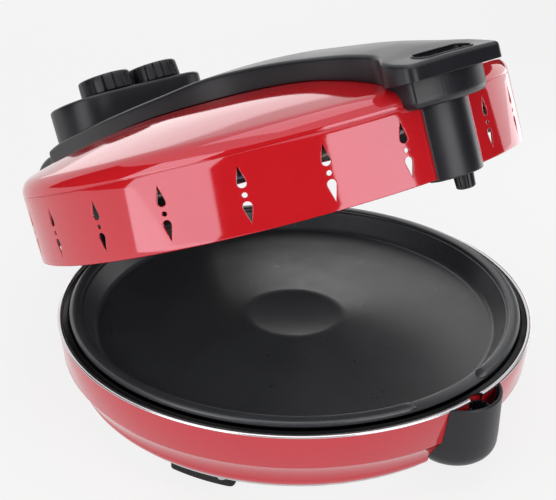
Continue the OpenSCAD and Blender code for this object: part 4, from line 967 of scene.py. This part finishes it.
def show_background(nodes, links, plain, pale, share, out):
    """Camera, mirror and glass rays see the pale background with this share, other rays the plain shader."""
    rays = nodes.new("ShaderNodeLightPath")
    seen = rays.outputs["Is Camera Ray"]
    for ray in ("Is Glossy Ray", "Is Transmission Ray"):
        either = nodes.new("ShaderNodeMath")
        either.operation = "MAXIMUM"
        links.new(seen, either.inputs[0])
        links.new(rays.outputs[ray], either.inputs[1])
        seen = either.outputs[0]
    part = nodes.new("ShaderNodeMath")
    part.operation = "MULTIPLY"
    part.inputs[1].default_value = share
    links.new(seen, part.inputs[0])
    pale.inputs["Color"].default_value = (BACKGROUND, BACKGROUND, BACKGROUND, 1)
    pale.inputs["Strength"].default_value = 1.0
    mix = nodes.new("ShaderNodeMixShader")
    links.new(part.outputs[0], mix.inputs["Fac"])
    links.new(plain.outputs[0], mix.inputs[1])
    links.new(pale.outputs[0], mix.inputs[2])
    links.new(mix.outputs[0], out.inputs["Surface"])


def placed(side, up, back, centre):
    """Matrix whose axes are side, up and back and whose origin is centre."""
    return Matrix([[*row] for row in np.column_stack([side, up, back, centre])] + [[0, 0, 0, 1]])


def lamp_at(name, side, up, centre, width, height, radiance):
    """Rectangular lamp whose face has the given radiance and looks along minus (side x up)."""
    light = bpy.data.lights.new(name, "AREA")
    light.shape = "RECTANGLE"
    light.size, light.size_y = width, height
    light.energy = math.pi * width * height * radiance
    lamp = bpy.data.objects.new(name, light)
    bpy.context.scene.collection.objects.link(lamp)
    lamp.visible_camera = False
    lamp.matrix_world = placed(side, up, np.cross(side, up), centre)


def make_camera():
    """The photograph's view: azimuth, elevation and roll of the sight line, its distance and its offsets."""
    azimuth, elevation, roll = math.radians(-41.96), math.radians(26.42), math.radians(0.58)
    distance, across, above = 825.0, -11.32, 90.28
    focal_px, image_w = 1093.43, 556.0
    d = np.array([math.sin(azimuth) * math.cos(elevation), -math.cos(azimuth) * math.cos(elevation),
                  math.sin(elevation)])
    r = np.array([math.cos(azimuth), math.sin(azimuth), 0.0])
    u = np.cross(d, r)
    r, u = r * math.cos(roll) + u * math.sin(roll), u * math.cos(roll) - r * math.sin(roll)
    place = (d * distance + r * across + u * above) * MM
    data = bpy.data.cameras.new("photo_camera")
    data.sensor_fit = "HORIZONTAL"
    data.sensor_width = 36.0
    data.lens = focal_px * data.sensor_width / image_w
    camera = bpy.data.objects.new("photo_camera", data)
    bpy.context.scene.collection.objects.link(camera)
    camera.matrix_world = placed(r, u, d, place)
    bpy.context.scene.camera = camera


make_camera()
make_room()
make_walls()
make_rim_and_bowl()
make_feet()
trimmer = base_cutter()
make_cup(trimmer)
make_bracket(trimmer)
make_pan()
make_lid()
make_heaters()
make_cover()
make_front()
make_spigot()
make_pod()
make_knob(-1, "timer", "timer_knob", 16)
make_knob(1, "heat", "heat_knob", 20)
make_hood()
dress_cad()
